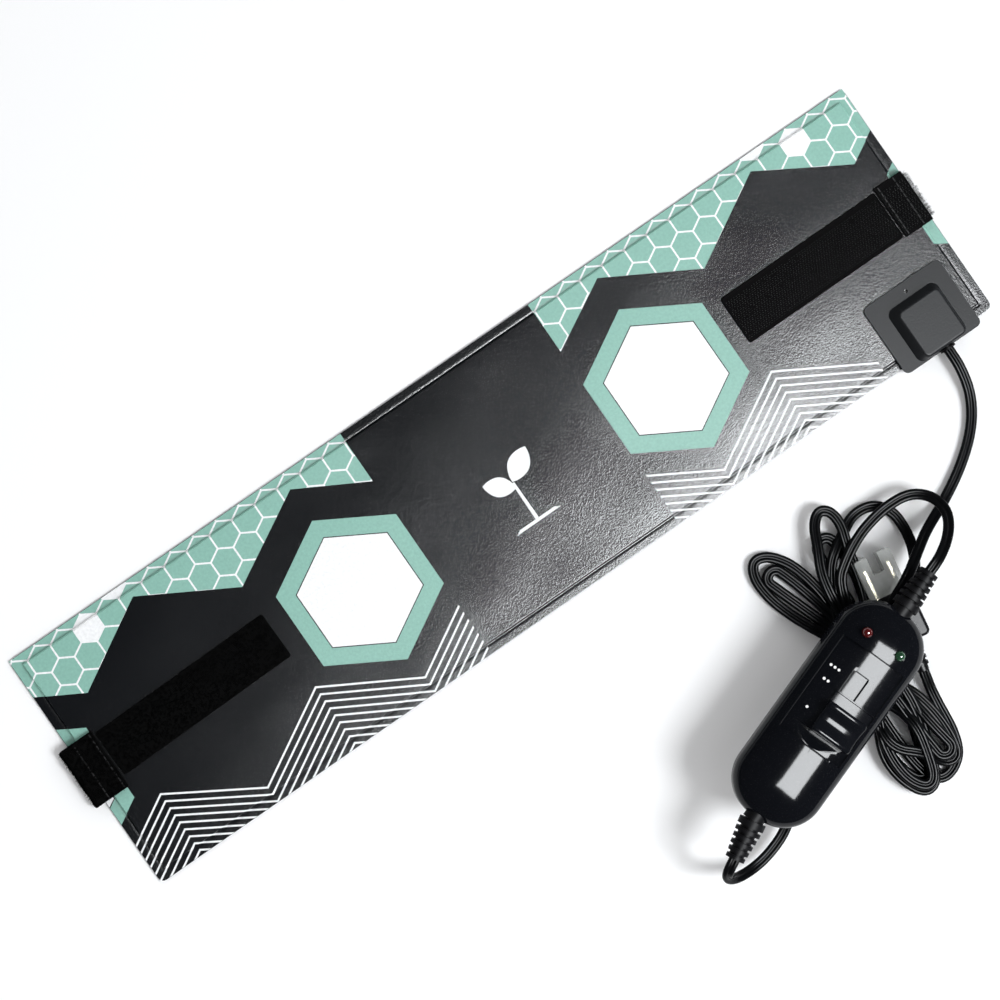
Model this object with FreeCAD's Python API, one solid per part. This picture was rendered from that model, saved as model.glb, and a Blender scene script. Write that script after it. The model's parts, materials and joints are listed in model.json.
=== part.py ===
import FreeCAD, Part
import math
import os

from FreeCAD import Placement, Rotation, Vector

# Seedling heat mat: a thin laminated heating mat with a hook strap and a loop strap at its ends,
# a power block on one corner, and a supply cord with an inline three-position controller.
# Millimetres, +Z up. The origin is the middle of the mat's underside; +X runs along the mat to
# the end with the power block, +Y to the rear edge.

# ---- driving dimensions: mat -------------------------------------------------------------
MAT_LENGTH = 508.0
MAT_WIDTH = 134.0
MAT_CORNER = 3.0
BORDER = 5.0            # width of the welded border round the core
FILM = 0.4              # thickness of either cover film
WELD_GAP = 0.02
FELT_BOTTOM = 0.45
FELT_THICKNESS = 1.35
HEATER_BOTTOM = 1.85
HEATER_THICKNESS = 0.2
BUS_THICKNESS = 0.1
BUS_WIDTH = 6.0
BUS_Y = 57.0            # centre line of either bus bar
TOP_BOTTOM = 2.25       # underside of the top film over the core
TOP_Z = TOP_BOTTOM + FILM

# ---- driving dimensions: straps ----------------------------------------------------------
STRAP_REST = TOP_Z + 0.1
TAIL_THICKNESS = 1.2
TAB_TOP = 4.2
LOWER_LEG = 0.38
HINGE_Z = 4.28
HOOK_SEAM_X = 237.0
HOOK_TIP_X = 141.4
HOOK_TAIL_Y = (-12.7, 14.5)
HOOK_TAB_Y = (-13.5, 16.0)
HOOK_OUTER_X = 254.0
LOOP_SEAM_X = -239.0
LOOP_TIP_X = -137.0
LOOP_TAIL_Y = (-13.3, 12.3)
LOOP_TAB_Y = (-18.0, 15.3)
LOOP_OUTER_X = -258.0
LOOP_TAIL_TURN = 1.0    # degrees that the loop tail lies off the mat's axis
STITCH = (0.6, 2.4, 0.2)
STITCH_PITCH = 3.2

# ---- driving dimensions: power block -----------------------------------------------------
BLOCK_X = (197.5, 244.0)
BLOCK_Y = (-70.8, -30.8)
FLANGE_THICKNESS = 1.6
DOME_FOOT_X = (205.5, 236.8)
DOME_FOOT_Y = (-70.4, -38.0)
DOME_TOP_X = (209.5, 234.0)
DOME_TOP_Y = (-69.5, -42.4)
DOME_Z = 10.7
BLOCK_WALL = 1.8
BLOCK_OUTLET = Vector(222.0, -71.7, 5.4)

# ---- driving dimensions: controller ------------------------------------------------------
CTRL_LENGTH = 124.0
CTRL_WIDTH = 47.0
CTRL_HEIGHT = 23.0
CTRL_CORNER = 21.0
CTRL_TOP_ROUND = 13.0
CTRL_BOTTOM_ROUND = 6.0
CTRL_WALL = 2.0
CTRL_ROOF = 4.4         # from the crown down to the inside of the roof
CTRL_SPLIT = 11.0       # height of the parting line, and of the cord entries
CTRL_PLACE = Placement(Vector(65.1, -183.4, 16.2), Rotation(Vector(0, 0, 1), 19.5))
FACET = (-19.0, 35.0)   # flat label panel along the controller
FACET_Z = 21.4
CHANNEL_Y = (-12.0, 4.4)
CHANNEL_DEPTH = 0.5
SLOT = (-8.0, 23.6)
SLOT_HALF = 4.5
THUMB_X = (-11.4, 5.6)
THUMB_Y = (-17.0, 5.5)
THUMB_SKIRT_X = 11.6
THUMB_TRAVEL = 23.0
LED_X = 42.6
LED_Y = 9.8
LED_RADIUS = 2.5
ENTRY_RADIUS = 5.6
RELIEF_LENGTH_INSIDE = 8.0

# ---- driving dimensions: plug and cords --------------------------------------------------
CORD = 4.2              # round cord of the same section as the 5.6 x 2.8 mm two-core flex
PLUG_PLACE = Placement(Vector(126.2, -155.5, 5.6), Rotation(Vector(0, 0, 1), 80.5))
PLUG_BODY = (26.0, 22.0, 10.6)
PLUG_RELIEF = 16.0
BLADE = (16.5, 1.5, 6.3)
BLADE_SPACING = 12.7
COVER = (21.5, 19.4, 8.8)
HANK_Z = (0.3, 11.3)

MAT_LEAD_ROUTE = [
    (222.0, -71.7, 5.4), (222.0, -83.0, 5.4), (219.0, -98.0, 2.6), (209.5, -112.0, 2.2),
    (194.0, -124.5, 2.2), (175.5, -134.5, 2.2), (160.5, -140.0, 5.8), (149.0, -145.5, 13.5),
    (138.0, -152.0, 16.8), (126.0, -158.0, 14.6), (111.0, -165.0, 13.7), (88.0, -173.0, 13.8),
    (62.0, -184.5, 13.7), (41.0, -198.0, 13.2), (24.0, -211.0, 10.5), (9.0, -219.5, 6.5),
    (-4.0, -224.0, 4.6), (-17.0, -225.5, 5.4), (-26.5, -224.5, 12.0), (-28.5, -223.0, 21.0),
    (-21.47, -219.98, 27.2), (-13.2, -215.3, 27.2),
]
SUPPLY_ROUTE = [
    (145.6, -154.9, 27.2), (155.03, -151.56, 27.2), (166.0, -145.5, 21.5), (173.2, -135.5, 14.5),
    (173.0, -124.0, 10.0), (166.0, -115.5, 8.4), (152.5, -114.0, 7.6), (139.0, -116.3, 7.6),
    (128.0, -120.2, 7.2), (118.0, -126.5, 6.4),
]
ARC_ROUTE = [
    (118.0, -122.0, 2.5), (126.0, -117.5, 2.3), (135.0, -112.8, 2.2), (146.0, -114.2, 2.2),
    (152.8, -122.5, 2.2), (153.0, -133.5, 2.4), (150.5, -143.0, 4.8), (144.5, -151.8, 10.6),
    (134.5, -161.0, 13.9), (122.0, -168.0, 14.0), (109.5, -172.5, 14.0), (94.0, -178.5, 7.0),
]


def solid_box(x_range, y_range, z_range):
    """Box between the given ends on each axis."""
    size = [high - low for low, high in (x_range, y_range, z_range)]
    return Part.makeBox(*size, Vector(x_range[0], y_range[0], z_range[0]))


def rounded_plate(x_range, y_range, z_range, radius):
    """Plate whose four upright edges are rounded."""
    plate = solid_box(x_range, y_range, z_range)
    upright = [edge for edge in plate.Edges
               if abs(edge.Vertexes[0].Z - edge.Vertexes[1].Z) > 1e-6]
    return plate.makeFillet(radius, upright)


def rounded_wire(x_range, y_range, z, radius):
    """Closed outline of a rectangle with round corners, at height z."""
    plate = rounded_plate(x_range, y_range, (z, z + 1.0), radius)
    face = min(plate.Faces, key=lambda item: item.CenterOfMass.z)
    return face.OuterWire


def grown(bounds, by):
    """A (low, high) pair, moved out by the given amount at both ends."""
    return (bounds[0] - by, bounds[1] + by)


def cylinder_between(start, end, radius):
    """Round bar from start to end."""
    along = end.sub(start)
    return Part.makeCylinder(radius, along.Length, start, along)


def fuse_all(shapes):
    """One solid out of several that touch."""
    return shapes[0].multiFuse(shapes[1:]).removeSplitter()


def write(name, shape):
    """Write one sub-part and print what it measures."""
    if not shape.isValid():
        raise ValueError(name + " is not a valid shape")
    shape.exportStep("parts/" + name + ".step")
    print(f"{name}: {len(shape.Solids)} solid(s), {shape.Volume:.0f} mm3")


# ---- mat ---------------------------------------------------------------------------------
HALF_X = MAT_LENGTH / 2
HALF_Y = MAT_WIDTH / 2


def mat_plate(inset, z_range, corner=MAT_CORNER):
    """Plate of the mat's outline, drawn in by inset."""
    return rounded_plate((-HALF_X + inset, HALF_X - inset), (-HALF_Y + inset, HALF_Y - inset),
                         z_range, corner)


def hook_edge_notch():
    """Space at the right-hand end where the hook strap passes round the border."""
    return solid_box((HOOK_OUTER_X - 2.6, HALF_X + 1), grown(HOOK_TAB_Y, 0.4), (-1, 2))


def bottom_film():
    film = mat_plate(0.0, (0, FILM))
    film = film.cut(solid_box((HOOK_SEAM_X + 3, HALF_X + 1), grown(HOOK_TAB_Y, 0.3), (-1, 1)))
    film = film.cut(solid_box((-HALF_X - 1, LOOP_SEAM_X - 2), grown(LOOP_TAB_Y, 0.3), (-1, 1)))
    return film.cut(block_base_space())


def block_base_space():
    """Opening in the lower layers for the power block's base plate."""
    return solid_box((BLOCK_X[0] + 2.2, BLOCK_X[1] - 2.2), (-60.8, -33.2), (-1, 1.7))


def felt_pad():
    felt = mat_plate(6.0, (FELT_BOTTOM, FELT_BOTTOM + FELT_THICKNESS), 2.0)
    return felt.cut(block_base_space())


def heating_film():
    return mat_plate(6.5, (HEATER_BOTTOM, HEATER_BOTTOM + HEATER_THICKNESS), 2.0)


BUS_Z = (HEATER_BOTTOM + HEATER_THICKNESS, HEATER_BOTTOM + HEATER_THICKNESS + BUS_THICKNESS)
LINK_X = (242.0, 246.0)
LINK_Y = (-51.0, -47.0)


def bus_bar(y):
    return solid_box((-245, LINK_X[1]), (y - BUS_WIDTH / 2, y + BUS_WIDTH / 2), BUS_Z)


def bus_bar_link():
    """Strip that brings the rear bus bar's feed down to the power block."""
    down = solid_box(LINK_X, (LINK_Y[0], BUS_Y - BUS_WIDTH / 2), BUS_Z)
    across = solid_box((226, LINK_X[1]), LINK_Y, BUS_Z)
    return fuse_all([down, across])


def top_film():
    """Top film: flat over the core, stepping down to the welded border."""
    weld = (FILM + WELD_GAP, 2 * FILM + WELD_GAP)
    border = mat_plate(0.0, weld).cut(mat_plate(BORDER + FILM, (0, 3), 2.0))
    wall = mat_plate(BORDER, (weld[0], TOP_Z), 2.4)
    wall = wall.cut(mat_plate(BORDER + FILM, (0, TOP_BOTTOM), 2.0))
    film = fuse_all([border, wall])
    feed = solid_box((209.5, 233.5), (-60, -44), (2, 3))
    return film.cut(feed).cut(hook_edge_notch())


# ---- straps ------------------------------------------------------------------------------
def strap_tab(seam, outer, y_range, wall):
    """Strap folded round the mat's end: upper leg, end fold and thin lower leg."""
    side = 1 if outer > 0 else -1
    inner_wall = outer - side * wall
    upper_x = sorted((seam + side * 0.3, outer))
    fold_x = sorted((inner_wall, outer))
    lower_x = sorted((seam + side * 3.5, outer))
    tab = fuse_all([solid_box(upper_x, y_range, (STRAP_REST, TAB_TOP)),
                    solid_box(fold_x, y_range, (0, TAB_TOP)),
                    solid_box(lower_x, y_range, (0, LOWER_LEG))])
    outer_edges = [edge for edge in tab.Edges
                   if all(abs(v.X - outer) < 1e-6 for v in edge.Vertexes)
                   and abs(edge.Vertexes[0].Y - edge.Vertexes[1].Y) > 1]
    return tab.makeFillet(min(1.1, wall * 0.8), outer_edges)


def strap_tail(x_range, y_range, tip_x, turn=0.0):
    """Free end of a strap, lying flat on the mat, with its tip corners rounded."""
    tail = solid_box(x_range, y_range, (STRAP_REST, STRAP_REST + TAIL_THICKNESS))
    tip_edges = [edge for edge in tail.Edges
                 if all(abs(v.X - tip_x) < 1e-6 for v in edge.Vertexes)
                 and abs(edge.Vertexes[0].Z - edge.Vertexes[1].Z) > 1e-6]
    tail = tail.makeFillet(1.5, tip_edges)
    pivot = Vector(x_range[0] if tip_x == x_range[1] else x_range[1], 0, 0)
    tail.rotate(pivot, Vector(0, 0, 1), turn)
    return tail


def stitch_rows(x_rows, y_range):
    """Thread stitches across a strap tab, each one a short raised bar."""
    stitches = []
    for x in x_rows:
        count = int((y_range[1] - y_range[0] - STITCH[1]) // STITCH_PITCH) + 1
        first = (y_range[0] + y_range[1] - (count - 1) * STITCH_PITCH) / 2
        for index in range(count):
            y = first + index * STITCH_PITCH
            bar = solid_box((x - STITCH[0] / 2, x + STITCH[0] / 2),
                            (y - STITCH[1] / 2, y + STITCH[1] / 2), (TAB_TOP, TAB_TOP + STITCH[2]))
            stitches.append(bar)
    return Part.makeCompound(stitches)


# ---- power block -------------------------------------------------------------------------
FLANGE_Z = (TOP_Z + 0.05, TOP_Z + 0.05 + FLANGE_THICKNESS)


def power_block_cover():
    flange = rounded_plate(BLOCK_X, BLOCK_Y, FLANGE_Z, 3.0)
    skirt = solid_box(grown(BLOCK_X, -2.5), (-70.0, -67.3), (0.0, FLANGE_Z[1]))
    ledge = solid_box(grown(BLOCK_X, -1.0), (-68.0, -62.3), (0.95, FLANGE_Z[1]))
    dome = Part.makeLoft([rounded_wire(DOME_FOOT_X, DOME_FOOT_Y, FLANGE_Z[0], 4.5),
                          rounded_wire(DOME_TOP_X, DOME_TOP_Y, DOME_Z, 3.0)], True, True)
    crown = [edge for edge in dome.Edges if abs(edge.CenterOfMass.z - DOME_Z) < 1e-6]
    dome = dome.makeFillet(1.6, crown)
    cavity = rounded_plate(grown(DOME_TOP_X, -BLOCK_WALL), grown(DOME_TOP_Y, -BLOCK_WALL),
                           (FLANGE_Z[0] - 1, DOME_Z - BLOCK_WALL), 2.0)
    cover = fuse_all([flange, skirt, ledge, dome]).cut(cavity)
    vent = Part.makeCylinder(1.0, 4, Vector(221.2, -35.5, FLANGE_Z[0] - 1))
    outlet = Part.makeCylinder(3.3, 6, Vector(BLOCK_OUTLET.x, -73, BLOCK_OUTLET.z), Vector(0, 1, 0))
    return cover.cut(vent).cut(outlet)


def power_block_base():
    return rounded_plate((BLOCK_X[0] + 2.6, BLOCK_X[1] - 2.6), (-60.4, -33.6), (0, 1.6), 1.5)


def cord_gland():
    """Rubber bush that holds the mat lead in the power block's front wall."""
    y = BLOCK_OUTLET.y
    rings = [(4.2, y, y + 0.9), (3.1, y + 0.9, y + 4.5), (3.4, y + 4.5, y + 5.4)]
    return fuse_all([cylinder_between(Vector(BLOCK_OUTLET.x, low, BLOCK_OUTLET.z),
                                      Vector(BLOCK_OUTLET.x, high, BLOCK_OUTLET.z), radius)
                     for radius, low, high in rings])


TERMINALS = [Vector(214.0, -55.0, 0), Vector(229.5, -49.0, 0)]
FUSE_Y = -47.0


def crimp_terminals():
    """One crimp on the front bus bar and one on the link, each a foot with a barrel."""
    crimps = []
    for spot in TERMINALS:
        foot = solid_box((spot.x - 2, spot.x + 2), (spot.y - 1.9, spot.y + 1.9),
                         (BUS_Z[1], BUS_Z[1] + 0.5))
        barrel = Part.makeCylinder(1.5, 3.6, Vector(spot.x, spot.y - 1.8, BUS_Z[1] + 1.6),
                                   Vector(0, 1, 0))
        crimps.append(fuse_all([foot, barrel]))
    return Part.makeCompound(crimps)


def thermal_fuse():
    """Axial thermal cut-out lying across the block."""
    body = cylinder_between(Vector(213.5, FUSE_Y, 6.4), Vector(223.5, FUSE_Y, 6.4), 1.9)
    leads = cylinder_between(Vector(212.0, FUSE_Y, 6.4), Vector(225.5, FUSE_Y, 6.4), 0.5)
    return fuse_all([body, leads])


def block_wires():
    """Insulated wires inside the block: cord to fuse, and cord to front terminal."""
    inner = BLOCK_OUTLET.y + 6.0
    to_fuse = (Vector(223.4, inner, 5.8), Vector(226.6, FUSE_Y, 6.4))
    to_terminal = (Vector(220.6, inner, 5.0), Vector(TERMINALS[0].x, TERMINALS[0].y - 2.6, 3.9))
    return Part.makeCompound([cylinder_between(start, end, 0.75)
                              for start, end in (to_fuse, to_terminal)])


# ---- controller, in its own frame: x along it, z up from its underside --------------------
def capsule(length, width, z_range, corner, top_round, bottom_round):
    """Body with round ends in plan, a full round over the top and a smaller one below."""
    body = rounded_plate((-length / 2, length / 2), (-width / 2, width / 2), z_range, corner)
    for z, radius in ((z_range[1], top_round), (z_range[0], bottom_round)):
        rim = [edge for edge in body.Edges
               if all(abs(v.Z - z) < 1e-6 for v in edge.Vertexes)]
        body = body.makeFillet(radius, rim)
    return body


def controller_outer():
    body = capsule(CTRL_LENGTH, CTRL_WIDTH, (0, CTRL_HEIGHT), CTRL_CORNER, CTRL_TOP_ROUND,
                   CTRL_BOTTOM_ROUND)
    return body.cut(solid_box(FACET, (-30, 30), (FACET_Z, 30)))


def controller_inner():
    return capsule(CTRL_LENGTH - 2 * CTRL_WALL, CTRL_WIDTH - 2 * CTRL_WALL,
                   (CTRL_WALL, CTRL_HEIGHT - CTRL_ROOF), CTRL_CORNER - CTRL_WALL,
                   CTRL_TOP_ROUND - CTRL_WALL, CTRL_BOTTOM_ROUND - CTRL_WALL)


SCREWS = [(sx * 44.0, sy * 14.0) for sx in (-1, 1) for sy in (-1, 1)]


def cord_entries():
    """The two holes on the parting line where the strain reliefs sit."""
    return Part.makeCylinder(ENTRY_RADIUS, 160, Vector(-80, 0, CTRL_SPLIT), Vector(1, 0, 0)).cut(
        solid_box((-52, 52), (-10, 10), (0, 30)))


def controller_upper_shell():
    half = solid_box((-70, 70), (-30, 30), (CTRL_SPLIT + 0.1, 30))
    shell = controller_outer().common(half).cut(controller_inner()).cut(cord_entries())
    bosses = [Part.makeCylinder(2.8, 7.0, Vector(x, y, CTRL_SPLIT + 0.3)) for x, y in SCREWS]
    shell = fuse_all([shell] + [boss.common(controller_outer()) for boss in bosses])
    for x, y in SCREWS:
        shell = shell.cut(Part.makeCylinder(1.15, 6.0, Vector(x, y, CTRL_SPLIT)))
    channel = solid_box((FACET[0] + 3.5, FACET[1]), CHANNEL_Y, (FACET_Z - CHANNEL_DEPTH, 30))
    slot = solid_box(SLOT, (-SLOT_HALF, SLOT_HALF), (10, 30))
    shell = shell.cut(channel).cut(slot)
    for side in (-1, 1):
        hole = Part.makeCylinder(LED_RADIUS + 0.15, 20, Vector(LED_X, side * LED_Y, 12))
        shell = shell.cut(hole)
    return shell


def controller_lower_shell():
    half = solid_box((-70, 70), (-30, 30), (-1, CTRL_SPLIT - 0.1))
    shell = controller_outer().common(half).cut(controller_inner()).cut(cord_entries())
    for x, y in SCREWS:
        boss = Part.makeCylinder(3.2, CTRL_SPLIT - 1.4, Vector(x, y, 1.2))
        shell = fuse_all([shell, boss])
    for x, y in SCREWS:
        shell = shell.cut(Part.makeCylinder(1.45, 12, Vector(x, y, -1)))
        shell = shell.cut(Part.makeCylinder(2.6, 3.2, Vector(x, y, -1)))
    return shell


def shell_screws():
    screws = []
    for x, y in SCREWS:
        head = Part.makeCylinder(2.3, 1.6, Vector(x, y, 0.5))
        shank = Part.makeCylinder(1.1, 13.0, Vector(x, y, 2.1))
        cross = fuse_all([solid_box((x - 1.3, x + 1.3), (y - 0.3, y + 0.3), (0, 1.3)),
                          solid_box((x - 0.3, x + 0.3), (y - 1.3, y + 1.3), (0, 1.3))])
        screws.append(fuse_all([head, shank]).cut(cross))
    return Part.makeCompound(screws)


def switch_thumb():
    """Sliding thumb piece: grip with a centre rib, a flat skirt, and a stem down the slot."""
    grip = rounded_plate(THUMB_X, THUMB_Y, (FACET_Z + 0.15, FACET_Z + 3.4), 2.0)
    upper_rim = [edge for edge in grip.Edges
                 if all(abs(v.Z - FACET_Z - 3.4) < 1e-6 for v in edge.Vertexes)]
    grip = grip.makeFillet(1.2, upper_rim)
    scoop_x = (THUMB_X[0] + THUMB_X[1]) / 2
    for side in (-1, 1):
        scoop = Part.makeCylinder(9.0, 30, Vector(scoop_x + side * 5.0, THUMB_Y[0] - 3,
                                                  FACET_Z + 3.4 + 7.9), Vector(0, 1, 0))
        grip = grip.cut(scoop)
    rib = rounded_plate((scoop_x - 1.5, scoop_x + 1.5), (THUMB_Y[0] + 2.0, THUMB_Y[1] - 4.5),
                        (FACET_Z + 1.0, FACET_Z + 4.4), 1.2)
    skirt = solid_box((THUMB_X[0] + 0.4, THUMB_SKIRT_X), (CHANNEL_Y[0] + 0.5, CHANNEL_Y[1] - 0.5),
                      (FACET_Z - CHANNEL_DEPTH + 0.1, FACET_Z + 0.5))
    ridge = solid_box((THUMB_SKIRT_X - 1.2, THUMB_SKIRT_X), (CHANNEL_Y[0] + 0.5, CHANNEL_Y[1] - 0.5),
                      (FACET_Z, FACET_Z + 1.1))
    stem = solid_box((scoop_x - 2, scoop_x + 2), (-2.8, 2.8), (13.6, FACET_Z + 0.4))
    return fuse_all([grip, rib, skirt, ridge, stem])


BOARD_Z = (6.0, 7.6)
SWITCH_X = (-9.5, 26.5)


def circuit_board():
    board = rounded_plate((-40, 50), (-17, 17), BOARD_Z, 3.0)
    for x, y in SCREWS:
        board = board.cut(Part.makeCylinder(4.0, 5, Vector(x, y, 5)))
    return board


def slide_switch_body():
    body = solid_box(SWITCH_X, (-7, 7), (BOARD_Z[1], 15.4))
    return body.cut(solid_box(grown(SWITCH_X, -1.8), (-4.6, 4.6), (10.0, 20)))


def switch_slider():
    """Contact carriage inside the switch, carried by the thumb piece's stem."""
    middle = (THUMB_X[0] + THUMB_X[1]) / 2
    carriage = solid_box((middle - 3.4, middle + 3.4), (-4.2, 4.2), (10.3, 15.2))
    return carriage.cut(solid_box((middle - 2.2, middle + 2.2), (-3.0, 3.0), (13.3, 20)))


def triac():
    tab = solid_box((-37, -27), (8.5, 9.8), (BOARD_Z[1] + 0.6, 15.5))
    body = solid_box((-37, -27), (5.4, 8.5), (BOARD_Z[1] + 0.6, 14.0))
    legs = [solid_box((x - 0.4, x + 0.4), (6.6, 7.2), (BOARD_Z[1], BOARD_Z[1] + 0.6))
            for x in (-34.5, -32.0, -29.5)]
    return fuse_all([tab, body] + legs)


def dropper_capacitor():
    return rounded_plate((-36, -18), (-13.5, -6.0), (BOARD_Z[1] + 0.1, 16.0), 0.8)


def board_fuse():
    glass = Part.makeCylinder(2.4, 14, Vector(-22, 2.0, BOARD_Z[1] + 2.8), Vector(0, 1, 0))
    return glass.cut(Part.makeCylinder(1.9, 9, Vector(-22, 4.5, BOARD_Z[1] + 2.8), Vector(0, 1, 0)))


def led(side):
    """5 mm indicator: round-nosed lens standing through the roof, on two legs."""
    y = side * LED_Y
    lens = Part.makeCylinder(LED_RADIUS, 7.2, Vector(LED_X, y, 14.8))
    nose = Part.makeSphere(LED_RADIUS, Vector(LED_X, y, 22.0))
    legs = [Part.makeCylinder(0.3, 14.8 - BOARD_Z[1], Vector(LED_X + dx, y, BOARD_Z[1]))
            for dx in (-1.27, 1.27)]
    return fuse_all([lens, nose] + legs)


# ---- strain reliefs, plug and cords ------------------------------------------------------
def strain_relief(base, tip, inward):
    """Ribbed, tapering boot from the controller's end wall to the point where the cord leaves."""
    along = tip.sub(base)
    length = along.Length
    direction = Vector(along).normalize()
    stub = cylinder_between(base + inward * RELIEF_LENGTH_INSIDE, base - inward * 2.0,
                            ENTRY_RADIUS - 0.2)
    core = Part.makeCone(5.0, 3.7, length - 1.8, base + direction * 1.8, direction)
    collar = Part.makeCylinder(6.8, 3.4, base + direction * 1.8, direction)
    ribs = []
    rib_count = 5
    pitch = (length - 1.8 - 3.4) / rib_count
    for index in range(rib_count):
        radius = 6.5 - 0.4 * index
        start = 1.8 + 3.4 + pitch * index + pitch * 0.42
        ribs.append(Part.makeCylinder(radius, pitch * 0.58, base + direction * start, direction))
    return fuse_all([stub, core, collar] + ribs)


def plug_body():
    """Two-pole plug with a flat moulded body and a ribbed tail, in the plug's own frame."""
    length, width, thickness = PLUG_BODY
    body = rounded_plate((-length, 0), (-width / 2, width / 2), (-thickness / 2, thickness / 2), 3.0)
    corners = [edge for edge in body.Edges
               if abs(edge.Vertexes[0].Z - edge.Vertexes[1].Z) < 1e-6
               and abs(abs(edge.Vertexes[0].Z) - thickness / 2) < 1e-6]
    body = body.makeFillet(2.0, corners)
    tail = Part.makeCone(4.2, 3.0, PLUG_RELIEF + 1, Vector(-length + 1, 0, 0), Vector(-1, 0, 0))
    ribs = [Part.makeCylinder(4.9 - 0.25 * i, 1.6, Vector(-length - 2.2 - 3.2 * i, 0, 0),
                              Vector(-1, 0, 0)) for i in range(4)]
    return fuse_all([body, tail] + ribs)


def plug_blades():
    length, thickness, height = BLADE
    blades = []
    for side in (-1, 1):
        y = side * BLADE_SPACING / 2
        blade = solid_box((0, length), (y - thickness / 2, y + thickness / 2),
                          (-height / 2, height / 2))
        nose = [edge for edge in blade.Edges
                if all(abs(v.X - length) < 1e-6 for v in edge.Vertexes)
                and abs(edge.Vertexes[0].Y - edge.Vertexes[1].Y) > 1e-6]
        blades.append(blade.makeFillet(1.0, nose))
    return Part.makeCompound(blades)


def blade_cover():
    """Clear cover pushed over the blades: two sleeves joined by a web."""
    length, width, thickness = COVER
    cover = rounded_plate((0.3, length + 0.3), (-width / 2, width / 2),
                          (-thickness / 2, thickness / 2), 1.5)
    cover = cover.cut(solid_box((length - 9.5, length + 2), (-3.0, 3.0), (-6, 6)))
    for side in (-1, 1):
        y = side * BLADE_SPACING / 2
        pocket = solid_box((-1, BLADE[0] + 1.2), (y - 1.4, y + 1.4), (-3.5, 3.5))
        cover = cover.cut(pocket)
    return cover


def cord_tube(name, route):
    """Round cord along straight runs joined by tangent arcs as large as the runs allow."""
    points = [Vector(*point) for point in route]
    edges = []
    radii = []
    start = points[0]
    for before, corner, after in zip(points, points[1:], points[2:]):
        into = corner.sub(before)
        out = after.sub(corner)
        turn = into.getAngle(out)
        shorter = min(into.Length, out.Length)
        reach = 0.45 * shorter
        radii.append(reach / math.tan(turn / 2))
        into.normalize()
        out.normalize()
        arc_start = corner.sub(into * reach)
        arc_end = corner.add(out * reach)
        middle_way = (out.sub(into)).normalize()
        sagitta = radii[-1] / math.cos(turn / 2) - radii[-1]
        edges.append(Part.LineSegment(start, arc_start).toShape())
        arc = Part.Arc(arc_start, corner.add(middle_way * sagitta), arc_end)
        edges.append(arc.toShape())
        start = arc_end
    edges.append(Part.LineSegment(start, points[-1]).toShape())
    path = Part.Wire(edges)
    direction = points[1].sub(points[0])
    section = Part.Wire([Part.makeCircle(CORD / 2, points[0], direction)])
    tube = path.makePipeShell([section], True, False)
    expected = math.pi * CORD ** 2 / 4 * path.Length
    print(f"{name}: length {path.Length:.1f} mm, least radius {min(radii):.1f} mm, "
          f"radii {[round(r, 1) for r in radii]}, volume ratio {tube.Volume / expected:.4f}")
    return tube


def bundle(start, end, radius):
    """Upright-sided lobe of the hank round a straight line on the floor."""
    along = Vector(end[0] - start[0], end[1] - start[1], 0)
    height = HANK_Z[1] - HANK_Z[0]
    rounds = [Part.makeCylinder(radius, height, Vector(x, y, HANK_Z[0])) for x, y in (start, end)]
    middle = Part.makeBox(along.Length, 2 * radius, height, Vector(0, -radius, 0))
    middle.rotate(Vector(0, 0, 0), Vector(0, 0, 1), math.degrees(math.atan2(along.y, along.x)))
    middle.translate(Vector(start[0], start[1], HANK_Z[0]))
    return fuse_all(rounds + [middle])


HANK_LOBES = [((89.0, -115.0), (97.5, -180.0), 10.8), ((119.5, -109.5), (99.5, -176.0), 6.8),
              ((97.5, -180.0), (90.5, -237.0), 14.2), ((98.0, -182.0), (103.5, -233.5), 14.2)]
TIE_Y = (-191.0, -186.0)
TIE_X = (80.5, 114.4)


def tie_frame(margin):
    """Flat band round the hank's waist; margin makes the groove that it lies in."""
    outer = solid_box(grown(TIE_X, margin), grown(TIE_Y, margin), (0.1 - margin, 11.5 + margin))
    inner_x = grown(TIE_X, -1.2 - margin)
    return outer.cut(solid_box(inner_x, grown(TIE_Y, margin + 1), (1.1 + margin, 10.5 - margin)))


def pocket_along(route_end, route_before, depth_out):
    """Clearance bore round the last stretch of a cord that runs into the hank."""
    tip = Vector(*route_end)
    outward = Vector(*route_before).sub(tip).normalize()
    return Part.makeCylinder(CORD / 2 + 0.6, depth_out, tip, outward)


def cord_hank():
    """The wound part of the supply cord as one solid of its outer shape."""
    hank = fuse_all([bundle(*lobe) for lobe in HANK_LOBES])
    hank = hank.cut(pocket_along(SUPPLY_ROUTE[-1], SUPPLY_ROUTE[-2], 30))
    hank = hank.cut(pocket_along(ARC_ROUTE[0], ARC_ROUTE[1], 30))
    hank = hank.cut(pocket_along(ARC_ROUTE[-1], ARC_ROUTE[-2], 40))
    tail = Part.makeCylinder(5.2, PLUG_BODY[0] + PLUG_RELIEF,
                             Vector(-PLUG_BODY[0] - PLUG_RELIEF, 0, 0), Vector(1, 0, 0))
    body = solid_box((-PLUG_BODY[0] - 0.5, 30), (-PLUG_BODY[1] / 2 - 0.5, PLUG_BODY[1] / 2 + 0.5),
                     (-6, 6))
    hank = hank.cut(placed(tail, PLUG_PLACE)).cut(placed(body, PLUG_PLACE))
    return hank.cut(tie_frame(0.15))


def placed(shape, placement):
    """A copy of the shape, moved into the mat's frame."""
    return shape.transformed(placement.toMatrix(), True)


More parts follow.
